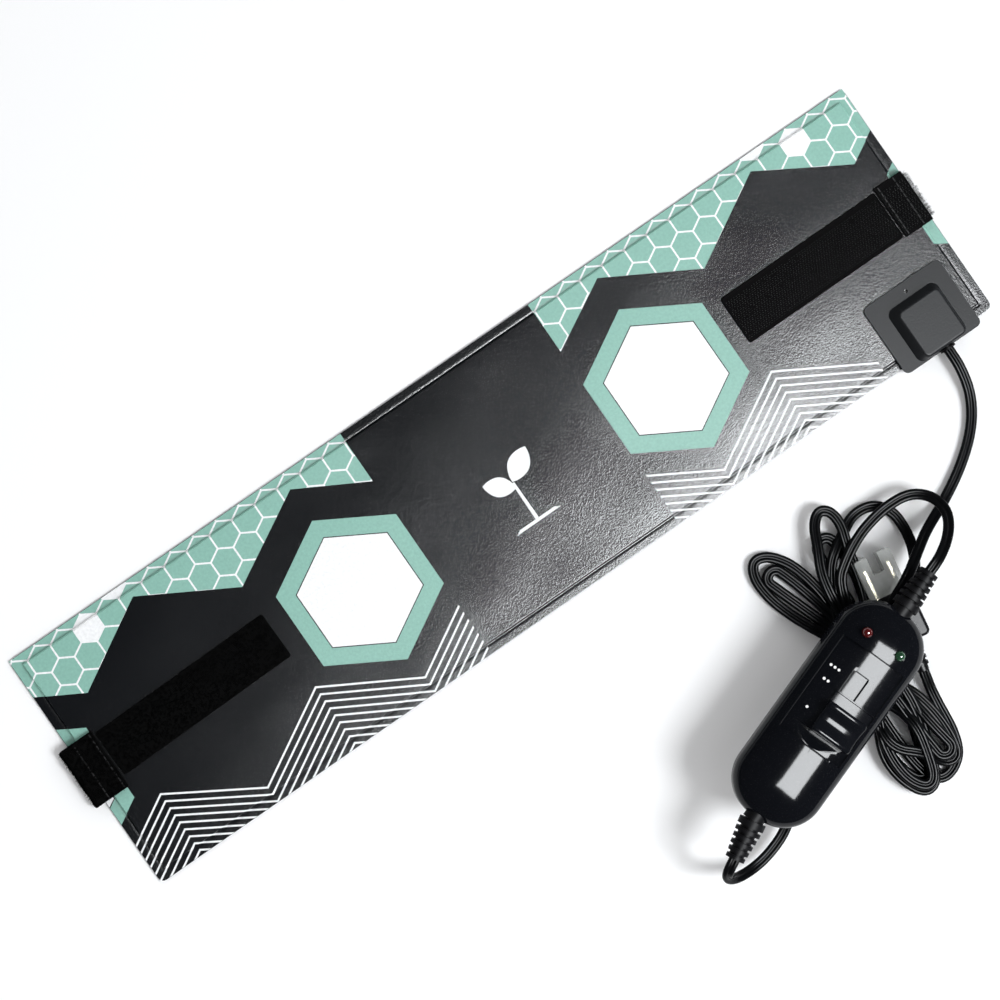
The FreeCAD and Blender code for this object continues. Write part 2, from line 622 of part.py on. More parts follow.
def main():
    os.makedirs("parts", exist_ok=True)

    write("bottom_film", bottom_film())
    write("felt_pad", felt_pad())
    write("heating_film", heating_film())
    write("bus_bar_front", bus_bar(-BUS_Y))
    write("bus_bar_rear", bus_bar(BUS_Y))
    write("bus_bar_link", bus_bar_link())
    write("top_film", top_film())

    write("hook_strap_tab", strap_tab(HOOK_SEAM_X, HOOK_OUTER_X, HOOK_TAB_Y, 1.5))
    write("hook_strap_tail", strap_tail((HOOK_TIP_X, HOOK_SEAM_X - 0.4), HOOK_TAIL_Y, HOOK_TIP_X))
    write("hook_strap_stitching", stitch_rows((239.2, 248.5), HOOK_TAB_Y))
    write("loop_strap_tab", strap_tab(LOOP_SEAM_X, LOOP_OUTER_X, LOOP_TAB_Y, 3.4))
    write("loop_strap_tail", strap_tail((LOOP_SEAM_X + 0.4, LOOP_TIP_X), LOOP_TAIL_Y, LOOP_TIP_X,
                                        LOOP_TAIL_TURN))
    write("loop_strap_stitching", stitch_rows((-241.2, -250.5), LOOP_TAB_Y))

    write("power_block_cover", power_block_cover())
    write("power_block_base", power_block_base())
    write("cord_gland", cord_gland())
    write("crimp_terminals", crimp_terminals())
    write("thermal_fuse", thermal_fuse())
    write("block_wires", block_wires())

    controller_parts = {
        "controller_upper_shell": controller_upper_shell(),
        "controller_lower_shell": controller_lower_shell(),
        "shell_screws": shell_screws(),
        "switch_thumb": switch_thumb(),
        "switch_slider": switch_slider(),
        "slide_switch_body": slide_switch_body(),
        "circuit_board": circuit_board(),
        "triac": triac(),
        "dropper_capacitor": dropper_capacitor(),
        "board_fuse": board_fuse(),
        "red_led": led(1),
        "green_led": led(-1),
    }
    for name, shape in controller_parts.items():
        write(name, placed(shape, CTRL_PLACE))

    for name, tip, side in (("upper_strain_relief", SUPPLY_ROUTE[0], 1),
                            ("lower_strain_relief", MAT_LEAD_ROUTE[-1], -1)):
        base = CTRL_PLACE.multVec(Vector(side * (CTRL_LENGTH / 2 + 0.2), 0, CTRL_SPLIT))
        inward = CTRL_PLACE.Rotation.multVec(Vector(-side, 0, 0))
        write(name, strain_relief(base, Vector(*tip), inward))

    write("plug_body", placed(plug_body(), PLUG_PLACE))
    write("plug_blades", placed(plug_blades(), PLUG_PLACE))
    write("blade_cover", placed(blade_cover(), PLUG_PLACE))
    write("mat_lead", cord_tube("mat_lead", MAT_LEAD_ROUTE))
    write("supply_cord_lead", cord_tube("supply_cord_lead", SUPPLY_ROUTE))
    write("supply_cord_arc", cord_tube("supply_cord_arc", ARC_ROUTE))
    write("cord_hank", cord_hank())
    write("hank_tie", tie_frame(0.0))


main()
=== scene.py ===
"""Seedling heat mat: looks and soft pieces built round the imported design, laid out as an add-on."""

import json
import math
import random

import bpy
from bpy.props import FloatProperty, FloatVectorProperty, IntProperty, PointerProperty
from mathutils import Matrix, Vector


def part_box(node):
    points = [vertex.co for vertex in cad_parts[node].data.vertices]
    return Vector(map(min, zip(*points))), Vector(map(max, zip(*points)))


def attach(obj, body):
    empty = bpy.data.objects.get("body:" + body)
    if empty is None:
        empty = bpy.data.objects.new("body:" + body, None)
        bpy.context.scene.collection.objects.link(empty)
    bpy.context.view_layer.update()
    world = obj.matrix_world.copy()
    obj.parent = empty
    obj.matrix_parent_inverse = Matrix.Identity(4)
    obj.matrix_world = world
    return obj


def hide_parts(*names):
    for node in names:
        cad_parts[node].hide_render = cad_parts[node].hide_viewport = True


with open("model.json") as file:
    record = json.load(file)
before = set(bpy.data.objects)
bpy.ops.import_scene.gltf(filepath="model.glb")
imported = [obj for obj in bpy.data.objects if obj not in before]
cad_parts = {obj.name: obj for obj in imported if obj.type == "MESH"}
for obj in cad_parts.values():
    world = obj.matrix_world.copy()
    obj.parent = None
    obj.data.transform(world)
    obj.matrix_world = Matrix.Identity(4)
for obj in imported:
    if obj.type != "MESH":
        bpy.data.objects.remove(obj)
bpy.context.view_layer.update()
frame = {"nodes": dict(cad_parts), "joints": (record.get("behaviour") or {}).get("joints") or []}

bl_info = {
    "name": "Seedling Heat Mat",
    "version": (1, 0, 0),
    "blender": (4, 5, 0),
    "location": "3D View > Sidebar > Heat Mat",
    "description": "Builds a laminated heat mat with straps, power block, cord and controller",
    "category": "Object",
}

MM = 0.001
NODES = frame["nodes"]


# ---- sizes taken from the frame ----------------------------------------------------------
def box_mm(node):
    """Lowest and highest corner of a node in millimetres."""
    low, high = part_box(node)
    return Vector(low) / MM, Vector(high) / MM


FILM_LOW, FILM_HIGH = box_mm("top_film")
HALF_X = (FILM_HIGH.x - FILM_LOW.x) / 2
HALF_Y = (FILM_HIGH.y - FILM_LOW.y) / 2
FILM_TOP = FILM_HIGH.z

SLIDE_AXIS = next(j for j in frame["joints"] if j["name"] == "mode_switch_slide")["axis"]
CTRL_LOW, CTRL_HIGH = box_mm("controller_lower_shell")
CTRL_PLACE = (Matrix.Translation(((CTRL_LOW.x + CTRL_HIGH.x) / 2, (CTRL_LOW.y + CTRL_HIGH.y) / 2,
                                  CTRL_LOW.z))
              @ Matrix.Rotation(math.atan2(SLIDE_AXIS[1], SLIDE_AXIS[0]), 4, "Z"))


# ---- settings that a user would change ---------------------------------------------------
class HEATMAT_PG_film(bpy.types.PropertyGroup):
    """Cover film and its print."""

    wave_height: FloatProperty(name="Wave height", description="Height of the film's soft waves",
                               default=0.28 * MM, unit="LENGTH")
    cell_pitch: FloatProperty(name="Cell pitch", description="Width of one printed cell",
                              default=13.65 * MM, unit="LENGTH")
    line_width: FloatProperty(name="Line width", description="Width of the printed lines",
                              default=0.95 * MM, unit="LENGTH")
    film_colour: FloatVectorProperty(name="Film", description="Colour of the film", subtype="COLOR",
                                     default=(0.0032, 0.0038, 0.0050))
    mint_colour: FloatVectorProperty(name="Mint ink", description="Colour of the mint print",
                                     subtype="COLOR", default=(0.225, 0.445, 0.375))
    white_colour: FloatVectorProperty(name="White ink", description="Colour of the white print",
                                      subtype="COLOR", default=(0.86, 0.87, 0.88))


class HEATMAT_PG_cord(bpy.types.PropertyGroup):
    """Flat two-core cord."""

    width: FloatProperty(name="Cord width", description="Width of the flat cord",
                         default=5.6 * MM, unit="LENGTH")
    thickness: FloatProperty(name="Cord thickness", description="Thickness of the flat cord",
                             default=2.8 * MM, unit="LENGTH")
    colour: FloatVectorProperty(name="Vinyl", description="Colour of the cord's vinyl",
                                subtype="COLOR", default=(0.0035, 0.0037, 0.0042))


class HEATMAT_PG_straps(bpy.types.PropertyGroup):
    """Hook and loop straps."""

    hook_pitch: FloatProperty(name="Hook pitch", description="Distance between two hooks",
                              default=1.55 * MM, unit="LENGTH")
    pile_count: IntProperty(name="Pile loops", description="Number of loops in the pile",
                            default=2600, min=100)
    colour: FloatVectorProperty(name="Tape", description="Colour of the tape", subtype="COLOR",
                                default=(0.006, 0.006, 0.0065))


class HEATMAT_PG_controller(bpy.types.PropertyGroup):
    """Inline controller."""

    colour: FloatVectorProperty(name="Shell", description="Colour of the shell", subtype="COLOR",
                                default=(0.004, 0.0045, 0.006))


def context_settings(name):
    return getattr(bpy.context.scene, name)


# ---- shader helpers ----------------------------------------------------------------------
class Value:
    """A node socket on which plain arithmetic adds Math nodes."""

    def __init__(self, board, socket):
        self.board = board
        self.socket = socket

    def _maths(self, operation, *terms):
        return self.board.node("ShaderNodeMath", {"operation": operation},
                               **{f"in{index}": term for index, term in enumerate(terms)})

    def __add__(self, other):
        return self._maths("ADD", self, other)

    def __radd__(self, other):
        return self._maths("ADD", other, self)

    def __mul__(self, other):
        return self._maths("MULTIPLY", self, other)

    def __rmul__(self, other):
        return self._maths("MULTIPLY", other, self)


class Board:
    """A material under construction: its Principled shader and the nodes that feed it."""

    def __init__(self, name, **constants):
        self.material = bpy.data.materials.new(name)
        self.material.use_nodes = True
        self.tree = self.material.node_tree
        self.shader = self.tree.nodes["Principled BSDF"]
        for label, value in constants.items():
            socket = self.shader.inputs[label.replace("_", " ")]
            is_colour = hasattr(value, "__len__") and len(value) == 3
            socket.default_value = (*value, 1.0) if is_colour else value

    def node(self, kind, settings=None, output=0, **inputs):
        """Adds a node, sets it up, fills or links its inputs, and gives back one output."""
        made = self.tree.nodes.new(kind)
        for label, value in (settings or {}).items():
            if label == "stops":
                for stop, (place, shade) in zip(made.color_ramp.elements, value):
                    stop.position = place
                    stop.color = (shade, shade, shade, 1)
            else:
                setattr(made, label, value)
        for label, value in inputs.items():
            key = int(label[2:]) if label[:2] == "in" and label[2:].isdigit() else label
            socket = made.inputs[key if isinstance(key, int) else key.replace("_", " ")]
            if isinstance(value, Value):
                self.tree.links.new(value.socket, socket)
            else:
                socket.default_value = value
        return Value(self, made.outputs[output])

    def place(self, scale=(1, 1, 1)):
        """Object coordinates in metres, scaled."""
        coords = self.node("ShaderNodeTexCoord", output="Object")
        return self.node("ShaderNodeMapping", Vector=coords, Scale=scale)

    def noise(self, per_metre, detail=2.0, rough=0.5, where=None):
        """Noise pattern with so many features to the metre."""
        return self.node("ShaderNodeTexNoise", Vector=where or self.place(), Scale=per_metre,
                         Detail=detail, Roughness=rough)

    def feed(self, label, value):
        self.tree.links.new(value.socket, self.shader.inputs[label])

    def bump(self, height, depth):
        """Feeds the shader's normal with a bump of the given depth in metres."""
        self.feed("Normal", self.node("ShaderNodeBump", Strength=1.0, Distance=depth,
                                      Height=height))

    def colour_mix(self, factor, first, second):
        return self.node("ShaderNodeMix", {"data_type": "RGBA"}, output=2, Factor=factor,
                         in6=(*first, 1), in7=(*second, 1))


def scaled_colour(colour, by):
    return tuple(min(1.0, part * by) for part in colour)


def sandy_material(name, colour, roughness, lustre=0.2):
    """Embossed film or ink: fine sandy grain, with slightly uneven gloss."""
    board = Board(name, Base_Color=colour, Roughness=roughness, Specular_IOR_Level=lustre)
    board.bump(board.noise(1000, 3.0, 0.7), 0.08 * MM)
    patches = board.noise(26, 2.0)
    board.feed("Roughness", roughness - 0.01 + patches * 0.02)
    tint = board.noise(700, 1.0)
    board.feed("Base Color", board.colour_mix(tint, scaled_colour(colour, 0.86),
                                              scaled_colour(colour, 1.12)))
    return board.material


def moulded_material(name, colour, roughness, grain_per_metre=900, depth=0.03 * MM,
                     lustre=0.4):
    """Moulded vinyl or rubber: a fine matte grain and faint flow marks."""
    board = Board(name, Base_Color=colour, Roughness=roughness, Specular_IOR_Level=lustre)
    grain = board.noise(grain_per_metre, 3.0, 0.55)
    board.bump(grain, depth)
    flow = board.noise(45, 3.0)
    board.feed("Roughness", roughness - 0.05 + flow * 0.1)
    board.feed("Base Color", board.colour_mix(flow, scaled_colour(colour, 0.8),
                                              scaled_colour(colour, 1.25)))
    return board.material


def polished_material(name, colour, roughness=0.09):
    """Polished shell: nearly a mirror, with the faintest moulding ripple and dust."""
    board = Board(name, Base_Color=colour, Roughness=roughness, Specular_IOR_Level=0.16)
    board.bump(board.noise(38, 1.0), 0.05 * MM)
    dust = board.node("ShaderNodeValToRGB", {"stops": [(0.66, 0.0), (0.74, 1.0)]},
                      Fac=board.noise(2300, 1.0))
    board.feed("Roughness", dust * 0.12 + roughness)
    board.feed("Base Color", board.colour_mix(dust, colour, (0.02, 0.02, 0.022)))
    return board.material


# Bands to the metre that a wave texture shows, about, for each unit of its scale.
BANDS_PER_SCALE = 3.1


def tape_material(name, colour, ribs_per_metre=1400):
    """Woven tape: crossed threads in the bump and the colour."""
    board = Board(name, Base_Color=colour, Roughness=0.85, Specular_IOR_Level=0.04)
    where = board.place()
    warp, weft = (board.node("ShaderNodeTexWave", {"bands_direction": direction}, Vector=where,
                             Scale=ribs_per_metre / BANDS_PER_SCALE, Distortion=0.6)
                  for direction in "XY")
    weave = warp * 0.5 + weft * 0.5
    board.bump(weave, 0.25 * MM)
    board.feed("Base Color", board.colour_mix(weave, scaled_colour(colour, 0.5),
                                              scaled_colour(colour, 1.8)))
    return board.material


def thread_material(name, colour, lustre):
    """Fibre of the pile, hooks and stitching, uneven in shade and gloss."""
    board = Board(name, Base_Color=colour, Specular_IOR_Level=lustre)
    strands = board.noise(1800, 1.0)
    board.feed("Roughness", 0.32 + strands * 0.25)
    board.feed("Base Color", board.colour_mix(strands, scaled_colour(colour, 0.5),
                                              scaled_colour(colour, 2.2)))
    return board.material


def metal_material(name, colour, roughness):
    """Metal brushed along X."""
    board = Board(name, Base_Color=colour, Metallic=1.0, Roughness=roughness)
    brushed = board.noise(320, 3.0, where=board.place((1, 9, 9)))
    board.feed("Roughness", roughness - 0.06 + brushed * 0.14)
    board.bump(brushed, 0.01 * MM)
    return board.material


def clear_material(name, colour, roughness, alpha):
    """Milky clear plastic, partly see-through, cloudier in places."""
    board = Board(name, Base_Color=colour, Roughness=roughness, Specular_IOR_Level=0.08)
    cloud = board.noise(160, 2.0)
    board.feed("Alpha", alpha - 0.12 + cloud * 0.24)
    board.bump(cloud, 0.1 * MM)
    board.feed("Base Color", board.colour_mix(cloud, scaled_colour(colour, 0.82), colour))
    return board.material


def lamp_material(name, colour):
    """Tinted lamp lens, unlit, with paler swirls."""
    board = Board(name, Base_Color=colour, Roughness=0.12, Coat_Weight=0.8)
    swirl = board.noise(420, 1.0)
    board.feed("Base Color", board.colour_mix(swirl, colour, scaled_colour(colour, 1.7)))
    return board.material


def board_material():
    """Green circuit board with paler tracks."""
    board = Board("circuit_board", Base_Color=(0.02, 0.16, 0.06), Roughness=0.35)
    tracks = board.node("ShaderNodeTexBrick", Vector=board.place((170, 170, 170)),
                        Color1=(0.02, 0.15, 0.06, 1), Color2=(0.025, 0.18, 0.07, 1),
                        Mortar=(0.1, 0.34, 0.16, 1), Mortar_Size=0.04)
    board.feed("Base Color", tracks)
    board.bump(board.noise(600), 0.03 * MM)
    return board.material


# ---- modelling helpers -------------------------------------------------------------------
def select_only(piece):
    bpy.ops.object.select_all(action="DESELECT")
    piece.select_set(True)
    bpy.context.view_layer.objects.active = piece


def new_piece(name, corners, faces):
    """A mesh object from corners in millimetres."""
    mesh = bpy.data.meshes.new(name)
    mesh.from_pydata([Vector(c) * MM for c in corners], [], faces)
    mesh.update()
    piece = bpy.data.objects.new(name, mesh)
    bpy.context.scene.collection.objects.link(piece)
    return piece


def rename(piece, name):
    piece.name = name
    piece.data.name = name
    return piece


def settle(piece):
    """Puts the object's place, turn and size into its mesh."""
    select_only(piece)
    bpy.ops.object.transform_apply(location=True, rotation=True, scale=True)
    return piece


def moved(piece, matrix):
    """Moves the mesh by a matrix whose shift is in millimetres."""
    metres = matrix.copy()
    metres.translation = matrix.translation * MM
    piece.data.transform(metres)
    piece.data.update()
    return piece


def add_modifier(piece, kind, **settings):
    """Adds a modifier, sets it and applies it."""
    select_only(piece)
    modifier = piece.modifiers.new(kind.lower(), kind)
    for label, value in settings.items():
        setattr(modifier, label, value)
    bpy.ops.object.modifier_apply(modifier=modifier.name)
    return piece


def join(name, pieces):
    bpy.ops.object.select_all(action="DESELECT")
    for piece in pieces:
        piece.select_set(True)
    bpy.context.view_layer.objects.active = pieces[0]
    bpy.ops.object.join()
    return rename(pieces[0], name)


def in_edit_mode(piece, *steps):
    """Runs operator calls in edit mode with the whole mesh selected."""
    select_only(piece)
    bpy.ops.object.mode_set(mode="EDIT")
    bpy.ops.mesh.select_all(action="SELECT")
    for step in steps:
        step()
    bpy.ops.object.mode_set(mode="OBJECT")
    return piece


def face_outwards():
    bpy.ops.mesh.normals_make_consistent(inside=False)


def tidy_shell(piece):
    """Merges doubles, points the faces outwards and smooths all but sharp edges."""
    in_edit_mode(piece, lambda: bpy.ops.mesh.remove_doubles(threshold=0.001 * MM), face_outwards)
    bpy.ops.object.shade_smooth_by_angle(angle=math.radians(30))
    return piece


def prism(name, outline, low, high):
    """Flat outline in millimetres, drawn up into a closed plate."""
    piece = new_piece(name, [(x, y, low) for x, y in outline], [tuple(range(len(outline)))])

    def draw_up():
        bpy.ops.mesh.extrude_region_move(TRANSFORM_OT_translate={"value": (0, 0, (high - low) * MM)})
        bpy.ops.mesh.select_all(action="SELECT")

    return in_edit_mode(piece, draw_up, face_outwards)


def cut(piece, cutter):
    """Takes the cutter's body out of the piece."""
    add_modifier(piece, "BOOLEAN", object=cutter, operation="DIFFERENCE", solver="EXACT")
    bpy.data.objects.remove(cutter)
    return piece


def rounded_ring(x_range, y_range, radius, segments=6, side_steps=1):
    """Corners of a rectangle with round corners, going round once, in millimetres."""
    x0, x1 = x_range
    y0, y1 = y_range
    radius = min(radius, (x1 - x0) / 2 - 1e-4, (y1 - y0) / 2 - 1e-4)
    centres = ((x1 - radius, y1 - radius, 0), (x0 + radius, y1 - radius, 90),
               (x0 + radius, y0 + radius, 180), (x1 - radius, y0 + radius, 270))
    ring = []
    for cx, cy, start in centres:
        for step in range(segments + 1):
            angle = math.radians(start + 90 * step / segments)
            ring.append((cx + radius * math.cos(angle), cy + radius * math.sin(angle)))
    if side_steps == 1:
        return ring
    parted = []
    for index, (x, y) in enumerate(ring):
        parted.append((x, y))
        if index % (segments + 1) == segments:
            next_x, next_y = ring[(index + 1) % len(ring)]
            parted.extend((x + (next_x - x) * step / side_steps, y + (next_y - y) * step / side_steps)
                          for step in range(1, side_steps))
    return parted


def loft(name, rings):
    """Closed skin over rings that all have the same number of corners."""
    count = len(rings[0])
    corners = [corner for ring in rings for corner in ring]
    faces = []
    for level in range(len(rings) - 1):
        for index in range(count):
            following = (index + 1) % count
            faces.append((level * count + index, level * count + following,
                          (level + 1) * count + following, (level + 1) * count + index))
    faces.append(tuple(reversed(range(count))))
    faces.append(tuple(range((len(rings) - 1) * count, len(rings) * count)))
    return tidy_shell(new_piece(name, corners, faces))


def copies(name, sample, places):
    """One mesh holding a copy of the sample at each matrix, whose shifts are in millimetres."""
    corners = [vertex.co.copy() / MM for vertex in sample.data.vertices]
    faces = [tuple(face.vertices) for face in sample.data.polygons]
    all_corners = []
    all_faces = []
    for place in places:
        start = len(all_corners)
        all_corners.extend(place @ corner for corner in corners)
        all_faces.extend(tuple(start + index for index in face) for face in faces)
    bpy.data.objects.remove(sample)
    return new_piece(name, all_corners, all_faces)


def finish(piece, material, body="root", smooth=True):
    """Gives a piece its material and body, smoothing it unless told not to."""
    piece.data.materials.clear()
    piece.data.materials.append(material)
    if smooth and piece.type == "MESH":
        select_only(piece)
        bpy.ops.object.shade_smooth_by_angle(angle=math.radians(32))
    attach(piece, body)
    return piece


def dress(node, material):
    """Gives a CAD node a better material."""
    for index in range(len(NODES[node].material_slots)):
        NODES[node].material_slots[index].material = material


# ---- film surface ------------------------------------------------------------------------
FLAT_ZONES = [box_mm(node) for node in ("hook_strap_tail", "loop_strap_tail", "hook_strap_tab",
                                        "loop_strap_tab", "power_block_base")]


# The film, in millimetres: its welded rim, the step up to the core and the waves beyond.
BORDER_TOP = 0.82
FILM_THICKNESS = 0.4
INK_THICKNESS = 0.02
FILM_CORNER = 3.0
RIM_WIDTH = 5.0
STEP_WIDTH = 0.9
WELD_INSET = 4.7
WELD_DEPTH = 0.10
WELD_WIDTH = 0.45
WAVE_INSET = 7.0
WAVE_FADE_X = 24.0
WAVE_FADE_Y = 16.0
RIM_LINES = (0, 0.9, 1.8, 3.0, 4.0, 4.4, 4.7, 5.0, 5.2, 5.45, 5.7, 5.9, 6.1, 6.5)
FIELD_SPACING = 5.5


def ease(value):
    """Soft step from nought to one."""
    value = min(1.0, max(0.0, value))
    return value * value * (3 - 2 * value)


def film_wave(x, y):
    """Height of the film's soft waves in millimetres; nothing near the rim and what lies on it."""
    height = context_settings("heatmat_film").wave_height / MM
    fade = (ease((HALF_X - WAVE_INSET - abs(x)) / WAVE_FADE_X)
            * ease((HALF_Y - WAVE_INSET - abs(y)) / WAVE_FADE_Y))
    for low, high in FLAT_ZONES:
        gap_x = max(low.x - x, x - high.x, 0)
        gap_y = max(low.y - y, y - high.y, 0)
        fade *= ease(math.hypot(gap_x, gap_y) / WAVE_FADE_Y)
    ripple = (0.28 * math.sin(x / 14.0 + y / 21.0 + 0.8) + 0.26 * math.sin(x / 25.0 - y / 13.0)
              + 0.08 * math.sin(x / 7.5 + math.sin(y / 17.0) * 1.6))
    swell = math.exp(-((x + 32 + 0.3 * y) / 13) ** 2 - ((y - 46) / 26) ** 2)
    return height * fade * (ripple - 1.3 * swell)


def film_height(x, y):
    """Top of the cover film: a flat rim, a short step up, then the gently waved field."""
    inset = min(HALF_X - abs(x), HALF_Y - abs(y))
    rise = ease((inset - RIM_WIDTH) / STEP_WIDTH)
    weld = -WELD_DEPTH * math.exp(-((inset - WELD_INSET) / WELD_WIDTH) ** 2)
    return BORDER_TOP + (FILM_TOP - BORDER_TOP) * rise + weld + film_wave(x, y)


def film_lines(half):
    """Grid lines across the film, close together at the rim and its step."""
    first = half - RIM_LINES[-1]
    count = int(2 * first / FIELD_SPACING)
    inner = [-first + 2 * first * step / count for step in range(1, count)]
    return ([-half + gap for gap in RIM_LINES] + inner
            + [half - gap for gap in reversed(RIM_LINES)])


LINES_X = film_lines(HALF_X)
LINES_Y = film_lines(HALF_Y)


# ---- print -------------------------------------------------------------------------------
def clip(outline, point, normal):
    """The part of a convex outline on the side of the line that the normal points to."""
    kept = []
    for index, here in enumerate(outline):
        there = outline[(index + 1) % len(outline)]
        side_here = (here[0] - point[0]) * normal[0] + (here[1] - point[1]) * normal[1]
        side_there = (there[0] - point[0]) * normal[0] + (there[1] - point[1]) * normal[1]
        if side_here >= 0:
            kept.append(here)
        if side_here * side_there < 0:
            share = side_here / (side_here - side_there)
            kept.append((here[0] + (there[0] - here[0]) * share,
                         here[1] + (there[1] - here[1]) * share))
    return kept if len(kept) > 2 else []


def split(outlines, lines, axis):
    """Convex outlines parted along lines across the given axis."""
    parts = []
    normal = (1, 0) if axis == 0 else (0, 1)
    against = (-normal[0], -normal[1])
    for outline in outlines:
        rest = outline
        low = min(corner[axis] for corner in outline)
        high = max(corner[axis] for corner in outline)
        for line in lines:
            if low < line < high and rest:
                parts.append(clip(rest, (line, line), against))
                rest = clip(rest, (line, line), normal)
        parts.append(rest)
    return [part for part in parts if len(part) > 2]


def within_mat(outlines, margin=0.15):
    """Outlines cut off at the mat's edges."""
    kept = []
    for outline in outlines:
        for point, normal in (((HALF_X - margin, 0), (-1, 0)), ((margin - HALF_X, 0), (1, 0)),
                              ((0, HALF_Y - margin), (0, -1)), ((0, margin - HALF_Y), (0, 1))):
            outline = clip(outline, point, normal) if outline else outline
        if outline:
            kept.append(outline)
    return kept


def ink_layer(name, outlines, level, material):
    """Thin layer of ink lying on the film, its top at the given level above it."""
    parts = split(split(within_mat(outlines), LINES_X, 0), LINES_Y, 1)
    corners = []
    faces = []
    for part in parts:
        start = len(corners)
        corners.extend((x, y, film_height(x, y) + level) for x, y in part)
        faces.append(tuple(range(start, start + len(part))))
    layer = new_piece(name, corners, faces)

    in_edit_mode(layer, lambda: bpy.ops.mesh.remove_doubles(threshold=0.002 * MM), face_outwards)
    if sum(face.normal.z for face in layer.data.polygons) < 0:
        in_edit_mode(layer, bpy.ops.mesh.flip_normals)
    add_modifier(layer, "SOLIDIFY", thickness=INK_THICKNESS * MM, offset=-1.0)
    bpy.ops.object.shade_smooth_by_angle(angle=math.radians(30))
    return finish(layer, material, smooth=False)


def hexagon(x, y, reach):
    """Hexagon with a corner pointing along Y."""
    return [(x + reach * math.cos(math.radians(30 + 60 * k)),
             y + reach * math.sin(math.radians(30 + 60 * k))) for k in range(6)]


# The print, in millimetres: places along X are distances from its middle, used on both sides.
PRINT_MIDDLE = 3.3
HEXAGON_DISTANCES = (93.4, 280.2)
HEXAGON_LINE = -3.1
HONEYCOMB_START = 58.0
HONEYCOMB_FIRST_ROW = 34.5
HONEYCOMB_ROWS = 4
HONEYCOMB_COLUMNS = range(-1, 16)
BARE_CELLS = {(3, 10), (2, 11)}
HONEYCOMB_FOOT = [(57.2, 38.0), (93.5, 58.0), (140.7, 31.5), (188.0, 58.5), (233.5, 31.8),
                  (262.0, 48.0)]
CHEVRON_PATH = [(57.2, -37.8), (91.3, -57.6), (139.0, -30.5), (186.8, -58.0), (232.3, -30.3),
                (262.0, -47.5)]
CHEVRON_RIGHT_END = 186.2
CHEVRON_LINES = 9
CHEVRON_STEP = 4.25
CHEVRON_SLOPE = math.radians(30)
LEAF_RISE = math.radians(36)
LEAF_STEPS = 12


def both_sides(outlines):
    """Outlines given by distance from the print's middle, on the right and mirrored."""
    right = [[(PRINT_MIDDLE + x, y) for x, y in outline] for outline in outlines]
    left = [[(PRINT_MIDDLE - x, y) for x, y in outline] for outline in outlines]
    return right + left


def above_foot(outlines):
    """Parts of the outlines above the honeycomb's zigzag lower edge."""
    kept = []
    parted = split(outlines, [x for x, _ in HONEYCOMB_FOOT], 0)
    for outline in parted:
        middle = sum(x for x, _ in outline) / len(outline)
        for (x0, y0), (x1, y1) in zip(HONEYCOMB_FOOT, HONEYCOMB_FOOT[1:]):
            if x0 <= middle <= x1:
                piece = clip(outline, (x0, y0), (y0 - y1, x1 - x0))
                if piece:
                    kept.append(piece)
    return kept


def honeycomb(pitch, line):
    """White ground and mint cells of the panels along the rear edge."""
    foot = HONEYCOMB_FOOT
    ground = [[(x0, y0), (x1, y1), (x1, HALF_Y), (x0, HALF_Y)]
              for (x0, y0), (x1, y1) in zip(foot, foot[1:])]
    side = pitch / math.sqrt(3)
    cells = []
    for row in range(HONEYCOMB_ROWS):
        y = HONEYCOMB_FIRST_ROW + 1.5 * side * row
        shift = 0.5 if row % 2 == 0 else 0.0
        for column in HONEYCOMB_COLUMNS:
            x = HONEYCOMB_START + pitch * (column + shift)
            if (row, column) not in BARE_CELLS:
                cells.append(hexagon(x, y, side - line / math.sqrt(3)))
    return both_sides(ground), both_sides(above_foot(cells))


def chevrons(line):
    """Parallel zigzag lines along the front edge."""
    half = line / 2 / math.cos(CHEVRON_SLOPE)
    outlines = []
    for index in range(CHEVRON_LINES):
        drop = CHEVRON_STEP * index
        for (x0, y0), (x1, y1) in zip(CHEVRON_PATH, CHEVRON_PATH[1:]):
            bar = [(x0, y0 - drop - half), (x1, y1 - drop - half), (x1, y1 - drop + half),
                   (x0, y0 - drop + half)]
            outlines.append([(PRINT_MIDDLE - x, y) for x, y in bar])
            right = clip(bar, (CHEVRON_RIGHT_END, 0), (-1, 0))
            if right:
                outlines.append([(PRINT_MIDDLE + x, y) for x, y in right])
    return outlines


def sprout():
    """Seedling mark: two leaves on a stem over a short line of soil."""
    x0 = PRINT_MIDDLE
    outlines = []
    for side, foot, length, wide in ((1, -2.0, 19.0, 5.6), (-1, -5.5, 17.0, 5.0)):
        direction = Vector((side * math.cos(LEAF_RISE), math.sin(LEAF_RISE)))
        across = Vector((-direction.y, direction.x))
        root = Vector((x0, foot))
        shares = [step / LEAF_STEPS for step in range(LEAF_STEPS + 1)]
        edge = [(share, wide * math.sin(math.pi * share) ** 0.8) for share in shares]
        upper = [root + direction * length * s + across * b for s, b in edge]
        lower = [root + direction * length * s - across * b for s, b in reversed(edge[1:-1])]
        outlines.append([(p.x, p.y) for p in upper + lower])
    stem = [(x0 - 0.9, -24.0), (x0 + 0.9, -24.0), (x0 + 0.7, -2.5), (x0 - 0.7, -2.5)]
    soil = [(x0 - 13.0, -25.6), (x0 + 13.0, -25.6), (x0 + 10.5, -24.1), (x0 - 10.5, -24.1)]
    return outlines + [stem, soil]


